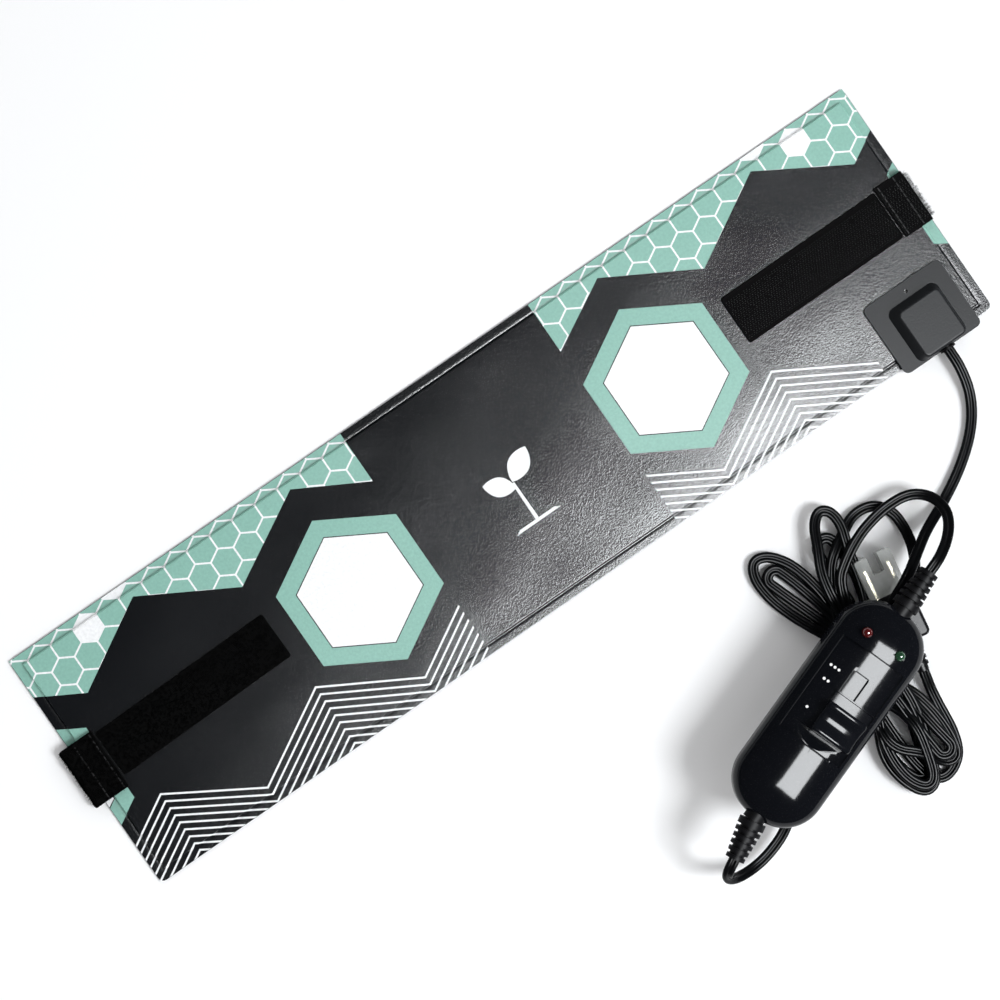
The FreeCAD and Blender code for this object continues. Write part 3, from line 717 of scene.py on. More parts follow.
# ---- film and print operators ------------------------------------------------------------
class HEATMAT_OT_film(bpy.types.Operator):
    """Cover film with its rim, step, weld line and soft waves"""
    bl_idname = "heatmat.film"
    bl_label = "Cover film"

    def execute(self, context):
        straight_x = HALF_X - FILM_CORNER
        straight_y = HALF_Y - FILM_CORNER
        corners = []
        for y in LINES_Y:
            for x in LINES_X:
                out_x = abs(x) - straight_x
                out_y = abs(y) - straight_y
                place_x, place_y = x, y
                if out_x > 0 and out_y > 0:
                    reach = max(out_x, out_y)
                    shrink = reach / math.hypot(out_x, out_y)
                    place_x = math.copysign(straight_x + out_x * shrink, x)
                    place_y = math.copysign(straight_y + out_y * shrink, y)
                corners.append((place_x, place_y, film_height(x, y)))
        wide = len(LINES_X)
        faces = [(row * wide + col, row * wide + col + 1, (row + 1) * wide + col + 1,
                  (row + 1) * wide + col)
                 for row in range(len(LINES_Y) - 1) for col in range(wide - 1)]
        film = new_piece("cover_film", corners, faces)
        add_modifier(film, "SOLIDIFY", thickness=FILM_THICKNESS * MM, offset=-1.0)
        bpy.ops.object.shade_smooth_by_angle(angle=math.radians(50))
        settings = context.scene.heatmat_film
        gloss = sandy_material("film", settings.film_colour, roughness=0.17, lustre=0.55)
        finish(film, gloss, smooth=False)
        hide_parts("top_film")
        return {"FINISHED"}


class HEATMAT_OT_print(bpy.types.Operator):
    """Printed honeycomb, hexagons, zigzag lines and seedling mark"""
    bl_idname = "heatmat.print"
    bl_label = "Print"

    def execute(self, context):
        settings = context.scene.heatmat_film
        white = sandy_material("white_ink", settings.white_colour, 0.42)
        mint = sandy_material("mint_ink", settings.mint_colour, 0.40)
        dark = sandy_material("dark_outline", settings.film_colour, 0.42)
        pitch = settings.cell_pitch / MM
        line = settings.line_width / MM
        ground, cells = honeycomb(pitch, line)
        ink_layer("honeycomb_lines", ground, 0.04, white)
        ink_layer("honeycomb_cells", cells, 0.07, mint)
        for name, reach, level, ink in (("hexagons", 42.0, 0.04, mint),
                                        ("hexagon_outlines", 32.1, 0.06, dark),
                                        ("hexagon_centres", 31.5, 0.08, white)):
            outlines = [hexagon(distance, HEXAGON_LINE, reach) for distance in HEXAGON_DISTANCES]
            ink_layer(name, both_sides(outlines), level, ink)
        ink_layer("zigzag_lines", chevrons(line), 0.05, white)
        ink_layer("seedling_mark", sprout(), 0.05, white)
        return {"FINISHED"}


# ---- straps ------------------------------------------------------------------------------
# The straps, in millimetres: selvedges are the bare edges in front of and behind the hooks.
HOOK_TAPE_THICKNESS = 0.55
LOOP_TAPE_THICKNESS = 0.5
TAPE_CORNER = 1.5
TAPE_EDGE = 0.25
SELVEDGES = (2.4, 2.2)
HOOK_ROW_SHARE = 0.62
MISSING_HOOKS = 0.05
TAB_HOOK_HEIGHT = 0.7
TAB_LOOPS = 700
FOLD_LOOPS = 600
HOOK_FOLD_HAIRS = 420
LOOP_FOLD_HAIRS = 260
LOOP_TAPE_TURN = math.radians(1.0)


def turned_about(x, angle):
    """Turn about an upright line through a place on the X axis."""
    about = Matrix.Translation((x, 0, 0))
    return about @ Matrix.Rotation(angle, 4, "Z") @ about.inverted()


def tape_plate(name, low, high, turn, material, body):
    """Woven tape lying flat, its corners rounded and its edges softened, then turned."""
    ring = rounded_ring((low.x, high.x), (low.y, high.y), TAPE_CORNER)
    plate = prism(name, ring, low.z, high.z)
    add_modifier(plate, "BEVEL", width=TAPE_EDGE * MM, segments=2, limit_method="ANGLE")
    moved(plate, turn)
    return finish(plate, material, body=body)


def bent_fibre(name, path, thick):
    """Fibre of square section along a path in the XZ plane, in millimetres."""
    rings = []
    for index, (x, z) in enumerate(path):
        before = path[max(index - 1, 0)]
        after = path[min(index + 1, len(path) - 1)]
        along = Vector((after[0] - before[0], 0, after[1] - before[1])).normalized()
        across = Vector((-along.z, 0, along.x)) * thick / 2
        side = Vector((0, thick / 2, 0))
        middle = Vector((x, 0, z))
        rings.append([middle + across + side, middle - across + side, middle - across - side,
                      middle + across - side])
    return loft(name, rings)


def hook_field(name, x_range, y_range, base, tall, settings, chance, fibre, body):
    """Hooks standing in slanting rows on a tape whose top is at the given height."""
    pitch = settings.hook_pitch / MM
    row_pitch = pitch * HOOK_ROW_SHARE
    curl = [(0.0, -0.08), (0.02, tall * 0.55), (0.16, tall * 0.9), (0.36, tall * 0.95),
            (0.5, tall * 0.7)]
    sample = bent_fibre("hook", curl, 0.24)
    places = []
    for column in range(int((x_range[1] - x_range[0]) / pitch)):
        for row in range(int((y_range[1] - y_range[0]) / row_pitch)):
            x = x_range[0] + 0.4 + column * pitch + (row % 3) * pitch / 3
            y = y_range[0] + row * row_pitch
            if chance.random() < MISSING_HOOKS or x > x_range[1] - 0.5:
                continue
            turn = (0 if row % 2 else math.pi) + chance.uniform(-0.5, 0.5)
            places.append(Matrix.Translation((x, y, base)) @ Matrix.Rotation(turn, 4, "Z")
                          @ Matrix.Scale(chance.uniform(0.8, 1.02), 4))
    hooks = copies(name, sample, places)
    return finish(hooks, fibre, body=body, smooth=False)


def pile_field(name, spots, tall, chance, fibre, body):
    """Small loops lying over one another; each spot is a matrix on the tape's surface."""
    arch = [(-0.6, -0.12), (-0.55, tall * 0.5), (-0.2, tall * 0.95), (0.25, tall * 0.9),
            (0.6, tall * 0.45), (0.65, -0.12)]
    sample = bent_fibre("pile_loop", arch, 0.2)
    places = [spot @ Matrix.Rotation(chance.uniform(0, math.tau), 4, "Z")
              @ Matrix.Scale(chance.uniform(0.7, 1.0), 4) for spot in spots]
    pile = copies(name, sample, places)
    return finish(pile, fibre, body=body, smooth=False)


def fray(name, x, side, y_range, z_range, length, count, chance, fibre):
    """Loose fibre ends standing out from the fold of a tape."""
    sample = bent_fibre("frayed_end", [(-0.3, 0.0), (length * 0.4, 0.02), (length * 0.8, 0.12),
                                       (length, 0.3)], 0.10)
    places = []
    for _ in range(count):
        turn = chance.uniform(-0.6, 0.6) + (0 if side > 0 else math.pi)
        places.append(Matrix.Translation((x, chance.uniform(*y_range), chance.uniform(*z_range)))
                      @ Matrix.Rotation(turn, 4, "Z")
                      @ Matrix.Rotation(chance.uniform(-0.5, 0.5), 4, "Y")
                      @ Matrix.Scale(chance.uniform(0.4, 1.0), 4))
    hairs = copies(name, sample, places)
    return finish(hairs, fibre, smooth=False)


class HEATMAT_OT_straps(bpy.types.Operator):
    """Hook strap, loop strap, their stitched tabs and the fibres on them"""
    bl_idname = "heatmat.straps"
    bl_label = "Straps"

    def execute(self, context):
        settings = context.scene.heatmat_straps
        chance = random.Random(5)
        hook_tape = tape_material("hook_webbing", scaled_colour(settings.colour, 0.35))
        loop_tape = tape_material("loop_webbing", scaled_colour(settings.colour, 0.08))
        hook_fibre = thread_material("hook_fibre", scaled_colour(settings.colour, 0.7), 0.22)
        loop_fibre = thread_material("loop_fibre", scaled_colour(settings.colour, 0.1), 0.01)
        thread = thread_material("thread", scaled_colour(settings.colour, 0.5), 0.15)
        dress("hook_strap_tab", hook_tape)
        dress("loop_strap_tab", loop_tape)
        for node in ("hook_strap_tab", "loop_strap_tab"):
            soft_edge = NODES[node].modifiers.new("soft_edge", "BEVEL")
            soft_edge.width = 0.7 * MM
            soft_edge.segments = 3
            soft_edge.limit_method = "ANGLE"
        for node in ("hook_strap_stitching", "loop_strap_stitching"):
            dress(node, thread)
        self.hook_side(settings, chance, hook_tape, hook_fibre)
        self.loop_side(settings, chance, loop_tape, loop_fibre)
        return {"FINISHED"}

    def hook_side(self, settings, chance, tape, fibre):
        """Hooks between two smooth selvedges, on the tail and over its tab."""
        front, rear = SELVEDGES
        low, high = box_mm("hook_strap_tail")
        plate_top = low.z + HOOK_TAPE_THICKNESS
        plate = tape_plate("hook_tape", low, Vector((high.x, high.y, plate_top)),
                           Matrix.Identity(4), tape, "hook_strap")
        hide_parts("hook_strap_tail")
        hook_field("hooks", (low.x + 0.8, high.x), (low.y + front, high.y - rear), plate_top,
                   high.z - plate_top, settings, chance, fibre, "hook_strap")
        low, high = box_mm("hook_strap_tab")
        hook_field("tab_hooks", (low.x + 0.2, high.x - 1.0), (low.y + front, high.y - rear),
                   high.z, TAB_HOOK_HEIGHT, settings, chance, fibre, "root")
        fray("hook_fold_fray", high.x, 1, (low.y + 2.0, high.y - 2.0), (1.0, high.z), 2.6,
             HOOK_FOLD_HAIRS, chance, fibre)

    def loop_side(self, settings, chance, tape, fibre):
        """A dense pile of small loops on a turned tape, thicker over the bulky folded tab."""
        low, high = box_mm("loop_strap_tail")
        plate_top = low.z + LOOP_TAPE_THICKNESS
        turn = turned_about(low.x, LOOP_TAPE_TURN)
        y_range = (low.y + 0.9, high.y - 0.9)
        plate = tape_plate("loop_tape", Vector((low.x + 0.3, y_range[0], low.z)),
                           Vector((high.x, y_range[1], plate_top)), turn, tape, "loop_strap")
        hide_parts("loop_strap_tail")
        spots = [turn @ Matrix.Translation((chance.uniform(low.x + 1.0, high.x - 0.6),
                                            chance.uniform(*y_range), plate_top))
                 for _ in range(settings.pile_count)]
        pile_field("pile", spots, high.z - plate_top, chance, fibre, "loop_strap")
        low, high = box_mm("loop_strap_tab")
        spots = [Matrix.Translation((chance.uniform(low.x + 0.6, high.x - 0.4),
                                     chance.uniform(low.y, high.y), high.z))
                 for _ in range(TAB_LOOPS)]
        outward = Matrix.Rotation(math.radians(-90), 4, "Y")
        for _ in range(FOLD_LOOPS):
            spot = Matrix.Translation((low.x + 0.2, chance.uniform(low.y + 0.5, high.y - 0.5),
                                       chance.uniform(0.9, high.z - 0.3)))
            spots.append(spot @ outward @ Matrix.Scale(chance.uniform(0.9, 1.5), 4))
        pile_field("tab_pile", spots, 1.0, chance, fibre, "root")
        fray("loop_fold_fray", low.x, -1, (low.y + 0.5, high.y - 0.5), (1.0, high.z), 2.2,
             LOOP_FOLD_HAIRS, chance, fibre)


# ---- controller --------------------------------------------------------------------------
# The controller, in millimetres in its own place: u along the thumb piece's travel, v across.
SHELL_HALF = (62.0, 23.5)
SHELL_CORNER = 21.0
SHELL_SPLIT = 11.1
SHELL_TOP = 23.0
PANEL = (-18.6, 35.4)
PANEL_HALF = 18.0
PANEL_TOP = 21.4
PANEL_FALL = 3.3
SHELL_WALL = 2.0
HOLLOW_TOP = 18.6
RAMP_PLACE = (-14.2, 0, 23.29)
RAMP_SIZE = (7.47, 40, 6)
RAMP_TILT = math.radians(15.5)
SLOT_U = (-8.0, 24.0)
SLOT_V = (-4.6, 4.4)
SLOT_DEPTH = 1.3
LED_PLACES = ((42.6, 9.8), (42.6, -9.8))
LED_RADIUS = 2.65
ENTRY_RADIUS = 4.6
ENTRY_START = 54
MARK_LINE = 12.4
MARK_PLACES = ((1, -3.6), (2, 12.4), (3, 19.8))
DOT_RADIUS = 0.72
DOT_SPACING = 2.3
DOT_THICKNESS = 0.04
THUMB_FOOT = 20.9
THUMB_SIDE_STATIONS = ((-17.0, 1.0), (-16.8, 0.6), (-16.3, 0.25), (-15.5, 0.0), (-12, 0), (-8, 0),
                       (-4, 0), (0, 0), (4.0, 0.0), (4.8, 0.25), (5.3, 0.6), (5.5, 1.0))


def panel_height(v):
    """Crowned label panel: highest along the middle."""
    return PANEL_TOP - PANEL_FALL * (v / PANEL_HALF) ** 2


def dome(name, inset, top, steps=24):
    """Shell half: every cross-section of its edge is a quarter of an ellipse."""
    half_x = SHELL_HALF[0] - inset
    half_y = SHELL_HALF[1] - inset
    rings = [[(x, y, SHELL_SPLIT) for x, y in rounded_ring((-half_x, half_x), (-half_y, half_y),
                                                           SHELL_CORNER - inset, 14, 18)]]
    for step in range(1, steps + 1):
        angle = math.radians(89.2 * step / steps)
        drawn_in = half_y * (1 - math.cos(angle))
        height = SHELL_SPLIT + (top - SHELL_SPLIT) * math.sin(angle)
        ring = rounded_ring((-half_x + drawn_in, half_x - drawn_in),
                            (-half_y + drawn_in, half_y - drawn_in),
                            (SHELL_CORNER - inset) * (1 - drawn_in / half_y), 14, 18)
        rings.append([(x, y, height) for x, y in ring])
    return loft(name, rings)


def swept_panel(name, u_range, v_range, lift):
    """Block over part of the panel: its underside lies at the panel's height plus the lift."""
    v0, v1 = v_range
    steps = 24
    top = 30.0
    stations = [v0 + (v1 - v0) * step / steps for step in range(steps + 1)]
    section = [(v, panel_height(v) + lift) for v in stations] + [(v1, top), (v0, top)]
    u0, u1 = u_range
    length_steps = max(1, round((u1 - u0) / 3))
    rings = [[(u0 + (u1 - u0) * step / length_steps, v, w) for v, w in section]
             for step in range(length_steps + 1)]
    return loft(name, rings)


def thumb_profile():
    """Top line of the thumb piece along its travel: one broad scoop, then the skirt."""
    points = [(-11.4, 21.2), (-11.3, 24.6), (-10.9, 25.4), (-10.2, 25.75)]
    for step in range(25):
        share = step / 24
        points.append((-9.6 + 13.4 * share, 25.75 - 1.9 * math.sin(math.pi * share) ** 1.3))
    points += [(4.6, 25.7), (5.3, 25.3), (5.6, 24.5), (5.7, 22.3), (10.6, 22.2), (10.9, 22.7),
               (11.5, 22.7), (11.7, 21.2)]
    return points


class HEATMAT_OT_controller(bpy.types.Operator):
    """Controller shell with its label panel, thumb piece, setting marks and lamps"""
    bl_idname = "heatmat.controller"
    bl_label = "Controller"

    def execute(self, context):
        settings = context.scene.heatmat_controller
        gloss = polished_material("controller_shell", settings.colour)
        grip = polished_material("switch_plastic", scaled_colour(settings.colour, 1.2), 0.12)
        marks = moulded_material("setting_marks", (0.8, 0.8, 0.8), 0.5)
        self.shell(gloss)
        self.thumb(grip)
        self.marks(marks)
        dress("controller_lower_shell", gloss)
        dress("red_led", lamp_material("led_red", (0.055, 0.006, 0.006)))
        dress("green_led", lamp_material("led_green", (0.012, 0.042, 0.020)))
        dress("circuit_board", board_material())
        dress("slide_switch_body", moulded_material("inner_plastic", (0.03, 0.03, 0.03), 0.5))
        dress("switch_slider", moulded_material("slider_plastic", (0.4, 0.4, 0.38), 0.5))
        dress("triac", moulded_material("triac_case", (0.02, 0.02, 0.02), 0.45))
        dress("dropper_capacitor", moulded_material("capacitor_yellow", (0.6, 0.4, 0.05), 0.4))
        dress("board_fuse", clear_material("fuse_glass", (0.8, 0.85, 0.85), 0.08, 0.6))
        dress("shell_screws", metal_material("steel", (0.55, 0.56, 0.58), 0.3))
        return {"FINISHED"}

    def shell(self, gloss):
        """Crowned hollow upper shell with panel, ramp, slot, lamp holes and cord entries cut."""
        shell = dome("upper_shell", 0.0, SHELL_TOP)
        cut(shell, dome("hollow", SHELL_WALL, HOLLOW_TOP, 8))
        cut(shell, swept_panel("panel_space", PANEL, (-PANEL_HALF, PANEL_HALF), 0.0))
        bpy.ops.mesh.primitive_cube_add(size=1, location=Vector(RAMP_PLACE) * MM,
                                        rotation=(0, RAMP_TILT, 0),
                                        scale=Vector(RAMP_SIZE) * MM)
        cut(shell, settle(bpy.context.object))
        cut(shell, swept_panel("slot", SLOT_U, SLOT_V, -SLOT_DEPTH))
        for u, v in LED_PLACES:
            bpy.ops.mesh.primitive_cylinder_add(vertices=40, radius=LED_RADIUS * MM, depth=12 * MM,
                                                location=(u * MM, v * MM, 20 * MM))
            cut(shell, settle(bpy.context.object))
        bpy.ops.mesh.primitive_cylinder_add(vertices=40, radius=ENTRY_RADIUS * MM, depth=160 * MM,
                                            location=(0, 0, SHELL_SPLIT * MM),
                                            rotation=(0, math.radians(90), 0))
        entries = settle(bpy.context.object)
        between = rounded_ring((-ENTRY_START, ENTRY_START), (-12, 12), 0.5)
        cut(entries, prism("between_entries", between, 0, 30))
        cut(shell, entries)
        add_modifier(shell, "BEVEL", width=0.22 * MM, segments=2, limit_method="ANGLE",
                     angle_limit=math.radians(38))
        moved(shell, CTRL_PLACE)
        finish(shell, gloss)
        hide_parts("controller_upper_shell")

    def thumb(self, grip):
        """Thumb piece, following the panel's crown and drawn in where its sides are rounded."""
        profile = thumb_profile()
        rings = []
        for v, shrink in THUMB_SIDE_STATIONS:
            fall = panel_height(v) - PANEL_TOP
            ring = []
            for u, w in profile:
                above_skirt = w > 23
                drop = shrink * 0.7 if above_skirt else 0.0
                drawn_in = shrink * 0.5 * (u < -9) - shrink * 0.5 * (u > 3 and above_skirt)
                ring.append((u + drawn_in, v, max(w - drop, THUMB_FOOT) + fall))
            rings.append(ring)
        thumb = loft("thumb", rings)
        moved(thumb, CTRL_PLACE)
        finish(thumb, grip, body="mode_switch")
        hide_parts("switch_thumb")

    def marks(self, material):
        """Rows of dots beside the thumb piece: one for off, two for medium, three for high."""
        slope = math.atan(2 * PANEL_FALL * MARK_LINE / PANEL_HALF ** 2)
        dots = []
        for count, u in MARK_PLACES:
            here = (CTRL_PLACE @ Matrix.Translation((u, MARK_LINE, panel_height(MARK_LINE) + 0.03))
                    @ Matrix.Rotation(-slope, 4, "X"))
            for index in range(count):
                bpy.ops.mesh.primitive_cylinder_add(vertices=28, radius=DOT_RADIUS * MM,
                                                    depth=DOT_THICKNESS * MM)
                dot = bpy.context.object
                dot.location.y = (index - (count - 1) / 2) * DOT_SPACING * MM
                settle(dot)
                moved(dot, here)
                dots.append(dot)
        marks = join("setting_marks", dots)
        finish(marks, material, smooth=False)


class HEATMAT_OT_fittings(bpy.types.Operator):
    """Materials of the power block, strain reliefs, plug, tie and hidden layers"""
    bl_idname = "heatmat.fittings"
    bl_label = "Fittings"

    def execute(self, context):
        rubber = moulded_material("block_rubber", (0.011, 0.012, 0.0135), 0.40,
                                  grain_per_metre=1100, depth=0.04 * MM, lustre=0.13)
        soft = moulded_material("soft_rubber", (0.005, 0.005, 0.006), 0.42,
                                grain_per_metre=800, lustre=0.06)
        vinyl = moulded_material("plug_vinyl", (0.004, 0.004, 0.005), 0.3,
                                 grain_per_metre=700, lustre=0.12)
        for node in ("power_block_cover", "power_block_base"):
            dress(node, rubber)
        for node in ("cord_gland", "upper_strain_relief", "lower_strain_relief"):
            dress(node, soft)
        dress("plug_body", vinyl)
        dress("hank_tie", moulded_material("tie_wire", (0.012, 0.012, 0.012), 0.35))
        dress("plug_blades", metal_material("blade_metal", (0.72, 0.66, 0.5), 0.25))
        dress("blade_cover", clear_material("clear_cover", (0.52, 0.54, 0.52), 0.35, 0.5))
        dress("bottom_film", sandy_material("bottom_film", (0.010, 0.0105, 0.0115), 0.45))
        dress("felt_pad", tape_material("felt", (0.5, 0.5, 0.48), ribs_per_metre=700))
        dress("heating_film", moulded_material("heater", (0.02, 0.02, 0.02), 0.3))
        copper = metal_material("copper", (0.83, 0.42, 0.25), 0.3)
        for node in ("bus_bar_front", "bus_bar_rear", "bus_bar_link", "crimp_terminals"):
            dress(node, copper)
        dress("thermal_fuse", metal_material("fuse_case", (0.5, 0.5, 0.52), 0.3))
        dress("block_wires", moulded_material("wire_insulation", (0.05, 0.05, 0.05), 0.4))
        return {"FINISHED"}


# ---- cords -------------------------------------------------------------------------------
MAT_LEAD_ROUTE = [
    (222.0, -68.5, 5.4), (222.0, -71.7, 5.4), (222.0, -83.0, 5.0), (219.0, -98.0, 2.2),
    (209.5, -112.0, 1.7), (194.0, -124.5, 1.7), (175.5, -134.5, 2.0), (160.5, -140.0, 5.8),
    (149.0, -145.5, 13.5), (138.0, -152.0, 16.8), (126.0, -158.0, 14.8), (111.0, -165.0, 13.7),
    (88.0, -173.0, 13.8), (62.0, -184.5, 13.7), (41.0, -199.0, 13.2), (28.0, -212.0, 10.0),
    (16.7, -222.8, 7.0), (2.0, -228.0, 6.5), (-9.0, -228.8, 8.0), (-17.5, -227.0, 12.5),
    (-21.5, -223.0, 20.0), (-19.5, -218.9, 26.5), (-13.2, -215.3, 27.2), (-9.7, -213.3, 27.2)]
SUPPLY_ROUTE = [
    (142.0, -156.2, 27.2), (145.6, -154.9, 27.2), (155.0, -151.6, 27.2), (166.0, -145.5, 21.5),
    (173.2, -137.0, 14.5), (172.0, -127.0, 10.0), (163.5, -119.5, 8.6), (150.0, -118.5, 8.0),
    (136.5, -120.8, 8.0), (126.5, -124.5, 8.2), (117.0, -130.0, 8.2)]
ARC_ROUTE = [
    (118.0, -122.0, 4.6), (126.0, -117.5, 2.8), (135.0, -112.8, 1.8), (146.0, -114.2, 1.7),
    (152.8, -122.5, 1.7), (153.0, -133.5, 1.9), (150.5, -143.0, 4.8), (144.5, -151.8, 10.6),
    (134.5, -161.0, 13.9), (122.0, -168.0, 14.0), (109.5, -172.5, 13.5), (94.0, -178.5, 8.0)]
PLUG_TAIL = (119.3, -196.9, 5.6)

# The hank's turns, in a frame turned like the controller, with its origin under it.
HANK_PLACE = Matrix.Translation((65.0, -183.5, 0.0)) @ Matrix.Rotation(math.radians(19.5), 4, "Z")
HANK_BEFORE_ARC = [
    # down through the waist and round the lower left loop
    (58, 30, 7.6), (48, 16, 6), (38, 0, 4.8), (31, -14, 4.7), (19, -23, 4.7), (8, -31, 4.7),
    (0, -40, 4.7), (-3.5, -50, 4.7), (-4, -60, 4.7), (-2, -67.5, 4.7), (4, -69, 4.7),
    (11, -63.5, 4.7), (19, -53, 5), (28, -40, 7), (34, -27, 7.6), (37, -14, 7.6),
    # first upper loop
    (36, 0, 7.5), (33, 14, 5), (31, 28, 3), (30.2, 42, 1.7), (31, 54, 1.7), (34.5, 65, 1.7),
    (41, 70.5, 1.7), (47.5, 66, 1.7), (51, 55, 1.7), (50.5, 44, 1.7), (48, 30, 1.7),
    (42, 16, 1.7), (34, 0, 1.7), (25, -14, 1.8),
    # inner turn of the lower left loop
    (13, -26, 1.8), (4, -38, 1.8), (0.5, -50, 1.8), (0.2, -59, 1.8), (2.2, -63.3, 1.8),
    (6.2, -64.4, 1.8), (9.9, -61, 1.8), (17, -49, 2.5), (26, -37, 4.6), (32, -25, 4.7), (37, -14, 4.7),
    # tight fold inside the first upper loop
    (38, 2, 4), (37, 18, 3), (36.8, 32, 1.7), (36.8, 46, 1.7), (36.8, 54.4, 1.7), (36.8, 57.7, 1.7),
    (39.1, 60, 1.7), (42.5, 60, 1.7), (44.8, 57.7, 1.7), (44.8, 54.4, 1.7), (44.8, 46, 1.7),
    (43.5, 32, 1.7), (41, 16, 4.7), (36, 2, 7), (31, -14, 7.6),
    # tight fold inside the lower right loop
    (27, -28, 7.6), (23, -40, 7.6), (19.5, -52, 7.6), (17.7, -58.6, 7.6), (17, -61.8, 7.6),
    (18.8, -64.6, 7.6), (22, -65.3, 7.6), (24.8, -63.4, 7.6), (25.4, -60.1, 7.6),
    (27.2, -50, 7.6), (31, -34, 6), (35, -24, 3), (37, -14, 1.8),
    # inner turn of the second upper loop
    (45, 4, 1.8), (53, 18, 1.8), (58, 32, 1.8), (62, 43, 1.8), (65, 48, 1.8),
    (69.5, 49.4, 1.8), (73, 46.8, 1.8), (73, 41.8, 1.8), (70.5, 34, 1.8), (65, 22, 1.8),
    (54, 8, 3), (38, -4, 4.7), (25, -14, 4.7),
    # strand that crosses the lower lobes and comes back up on the right
    (14, -25, 6.5), (7.5, -34, 8.6), (7, -43, 8.8), (11.5, -51, 8.6), (14.6, -59, 7), (15.4, -65.6, 5),
    (18.6, -69.4, 4.6), (23.2, -69, 4.6), (28, -62, 4.6), (32.5, -50, 4.6), (35, -36, 4.6),
    (34, -25, 3), (31, -14, 1.8),
    # outer turn of the second upper loop
    (37, 0, 2.5), (43, 14, 5), (49, 28, 7.4), (56, 40, 7.4), (65, 48, 7), (73, 56.5, 6),
    (80.5, 59, 5.4), (84, 54, 5.4), (82, 46, 5.4), (77, 39.5, 5.4), (72, 33, 4.9),
    (66.5, 23, 4.7), (56, 10, 5.5), (40, -3, 7.6), (25, -14, 7.6),
    # middle turn of the lower left loop
    (14, -25, 7.6), (5, -36, 7.6), (-0.5, -48, 7.6), (-2, -58, 7.6), (0.5, -66, 7.6),
    (6.5, -66, 7.6), (14, -56, 8.6), (22, -43, 9.6), (24, -29, 6), (19, -14, 1.8),
    # up to where the arc leaves the hank
    (24, -4, 4.6), (34, 10, 4.7), (46, 23, 4.7), (56, 33, 4.7), (63, 38, 4.7)]
HANK_AFTER_ARC = [
    # under the lower lobes, round the lower right loop and up to the plug
    (22, -14, 4.7), (16, -26, 3.6), (11, -40, 1.8), (7, -54, 1.7), (5.5, -65, 1.7),
    (8.5, -71.5, 1.7), (16, -73, 1.7), (24.5, -70, 1.7), (31.5, -61, 1.7), (36.5, -50, 1.7),
    (41, -40.5, 3), (44.5, -34.5, 4.8)]


def flat_cord(name, route):
    """Flat cord along a route in millimetres, its section two round cores and a web between."""
    settings = context_settings("heatmat_cord")
    half_wide = settings.width / 2
    half_thick = settings.thickness / 2
    profile_data = bpy.data.curves.new(name + "_section", "CURVE")
    section = profile_data.splines.new("POLY")
    steps = 36
    section.points.add(steps - 1)
    for index in range(steps):
        angle = 2 * math.pi * index / steps
        x = half_wide * math.cos(angle)
        from_core = abs(x) - (half_wide - half_thick)
        y = math.sqrt(max(0.0, half_thick ** 2 - from_core ** 2))
        if abs(x) < half_wide / 2:
            y = max(y, 0.5 * half_thick)
        section.points[index].co = (x, math.copysign(y, math.sin(angle)), 0, 1)
    section.use_cyclic_u = True
    profile = bpy.data.objects.new(name + "_section", profile_data)
    bpy.context.scene.collection.objects.link(profile)
    profile.hide_render = True
    profile.hide_set(True)
    data = bpy.data.curves.new(name, "CURVE")
    data.dimensions = "3D"
    spline = data.splines.new("NURBS")
    spline.points.add(len(route) - 1)
    for point, place in zip(spline.points, route):
        point.co = (*(Vector(place) * MM), 1)
    spline.order_u = 3
    spline.use_endpoint_u = True
    spline.resolution_u = 5
    data.bevel_mode = "OBJECT"
    data.bevel_object = profile
    data.use_fill_caps = True
    data.twist_mode = "Z_UP"
    cord = bpy.data.objects.new(name, data)
    bpy.context.scene.collection.objects.link(cord)
    return cord


class HEATMAT_OT_cords(bpy.types.Operator):
    """Flat cord from mat to controller, and supply cord tied in a hank"""
    bl_idname = "heatmat.cords"
    bl_label = "Cords"

    def execute(self, context):
        settings = context.scene.heatmat_cord
        vinyl = moulded_material("cord_vinyl", settings.colour, 0.2, grain_per_metre=500,
                                 depth=0.02 * MM, lustre=0.07)
        mat_lead = flat_cord("lead_to_mat", MAT_LEAD_ROUTE)
        finish(mat_lead, vinyl, smooth=False)
        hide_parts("mat_lead")
        before = [tuple(HANK_PLACE @ Vector(p)) for p in HANK_BEFORE_ARC]
        after = [tuple(HANK_PLACE @ Vector(p)) for p in HANK_AFTER_ARC]
        route = SUPPLY_ROUTE + before + ARC_ROUTE + after + [PLUG_TAIL]
        supply = flat_cord("supply_cord", route)
        finish(supply, vinyl, smooth=False)
        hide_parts("supply_cord_lead", "supply_cord_arc", "cord_hank")
        return {"FINISHED"}


# ---- stage -------------------------------------------------------------------------------
# Each light: name, place, the point it faces, side, power, and True where it lights matte
# shading only or False where it shows in the gloss only.
LIGHTS = (("sheen_light", (0.34, -0.82, 1.95), (0.10, -0.15, 0.0), 1.05, 160.0, False),
          ("key_light", (1.0, -1.35, 1.55), (0.0, -0.1, 0.0), 0.8, 47.0, True))
LIGHT_COLOUR = (0.955, 0.98, 1.0)
SKY_STRENGTH = 1.75
CAMERA_PLACE = (-0.0385, -0.0045, 0.9761)
CAMERA_RIGHT = (0.82217, -0.56857, 0.02749)
CAMERA_UP = (0.56831, 0.82263, 0.01724)
CAMERA_BACK = (-0.03242, 0.00145, 0.99947)


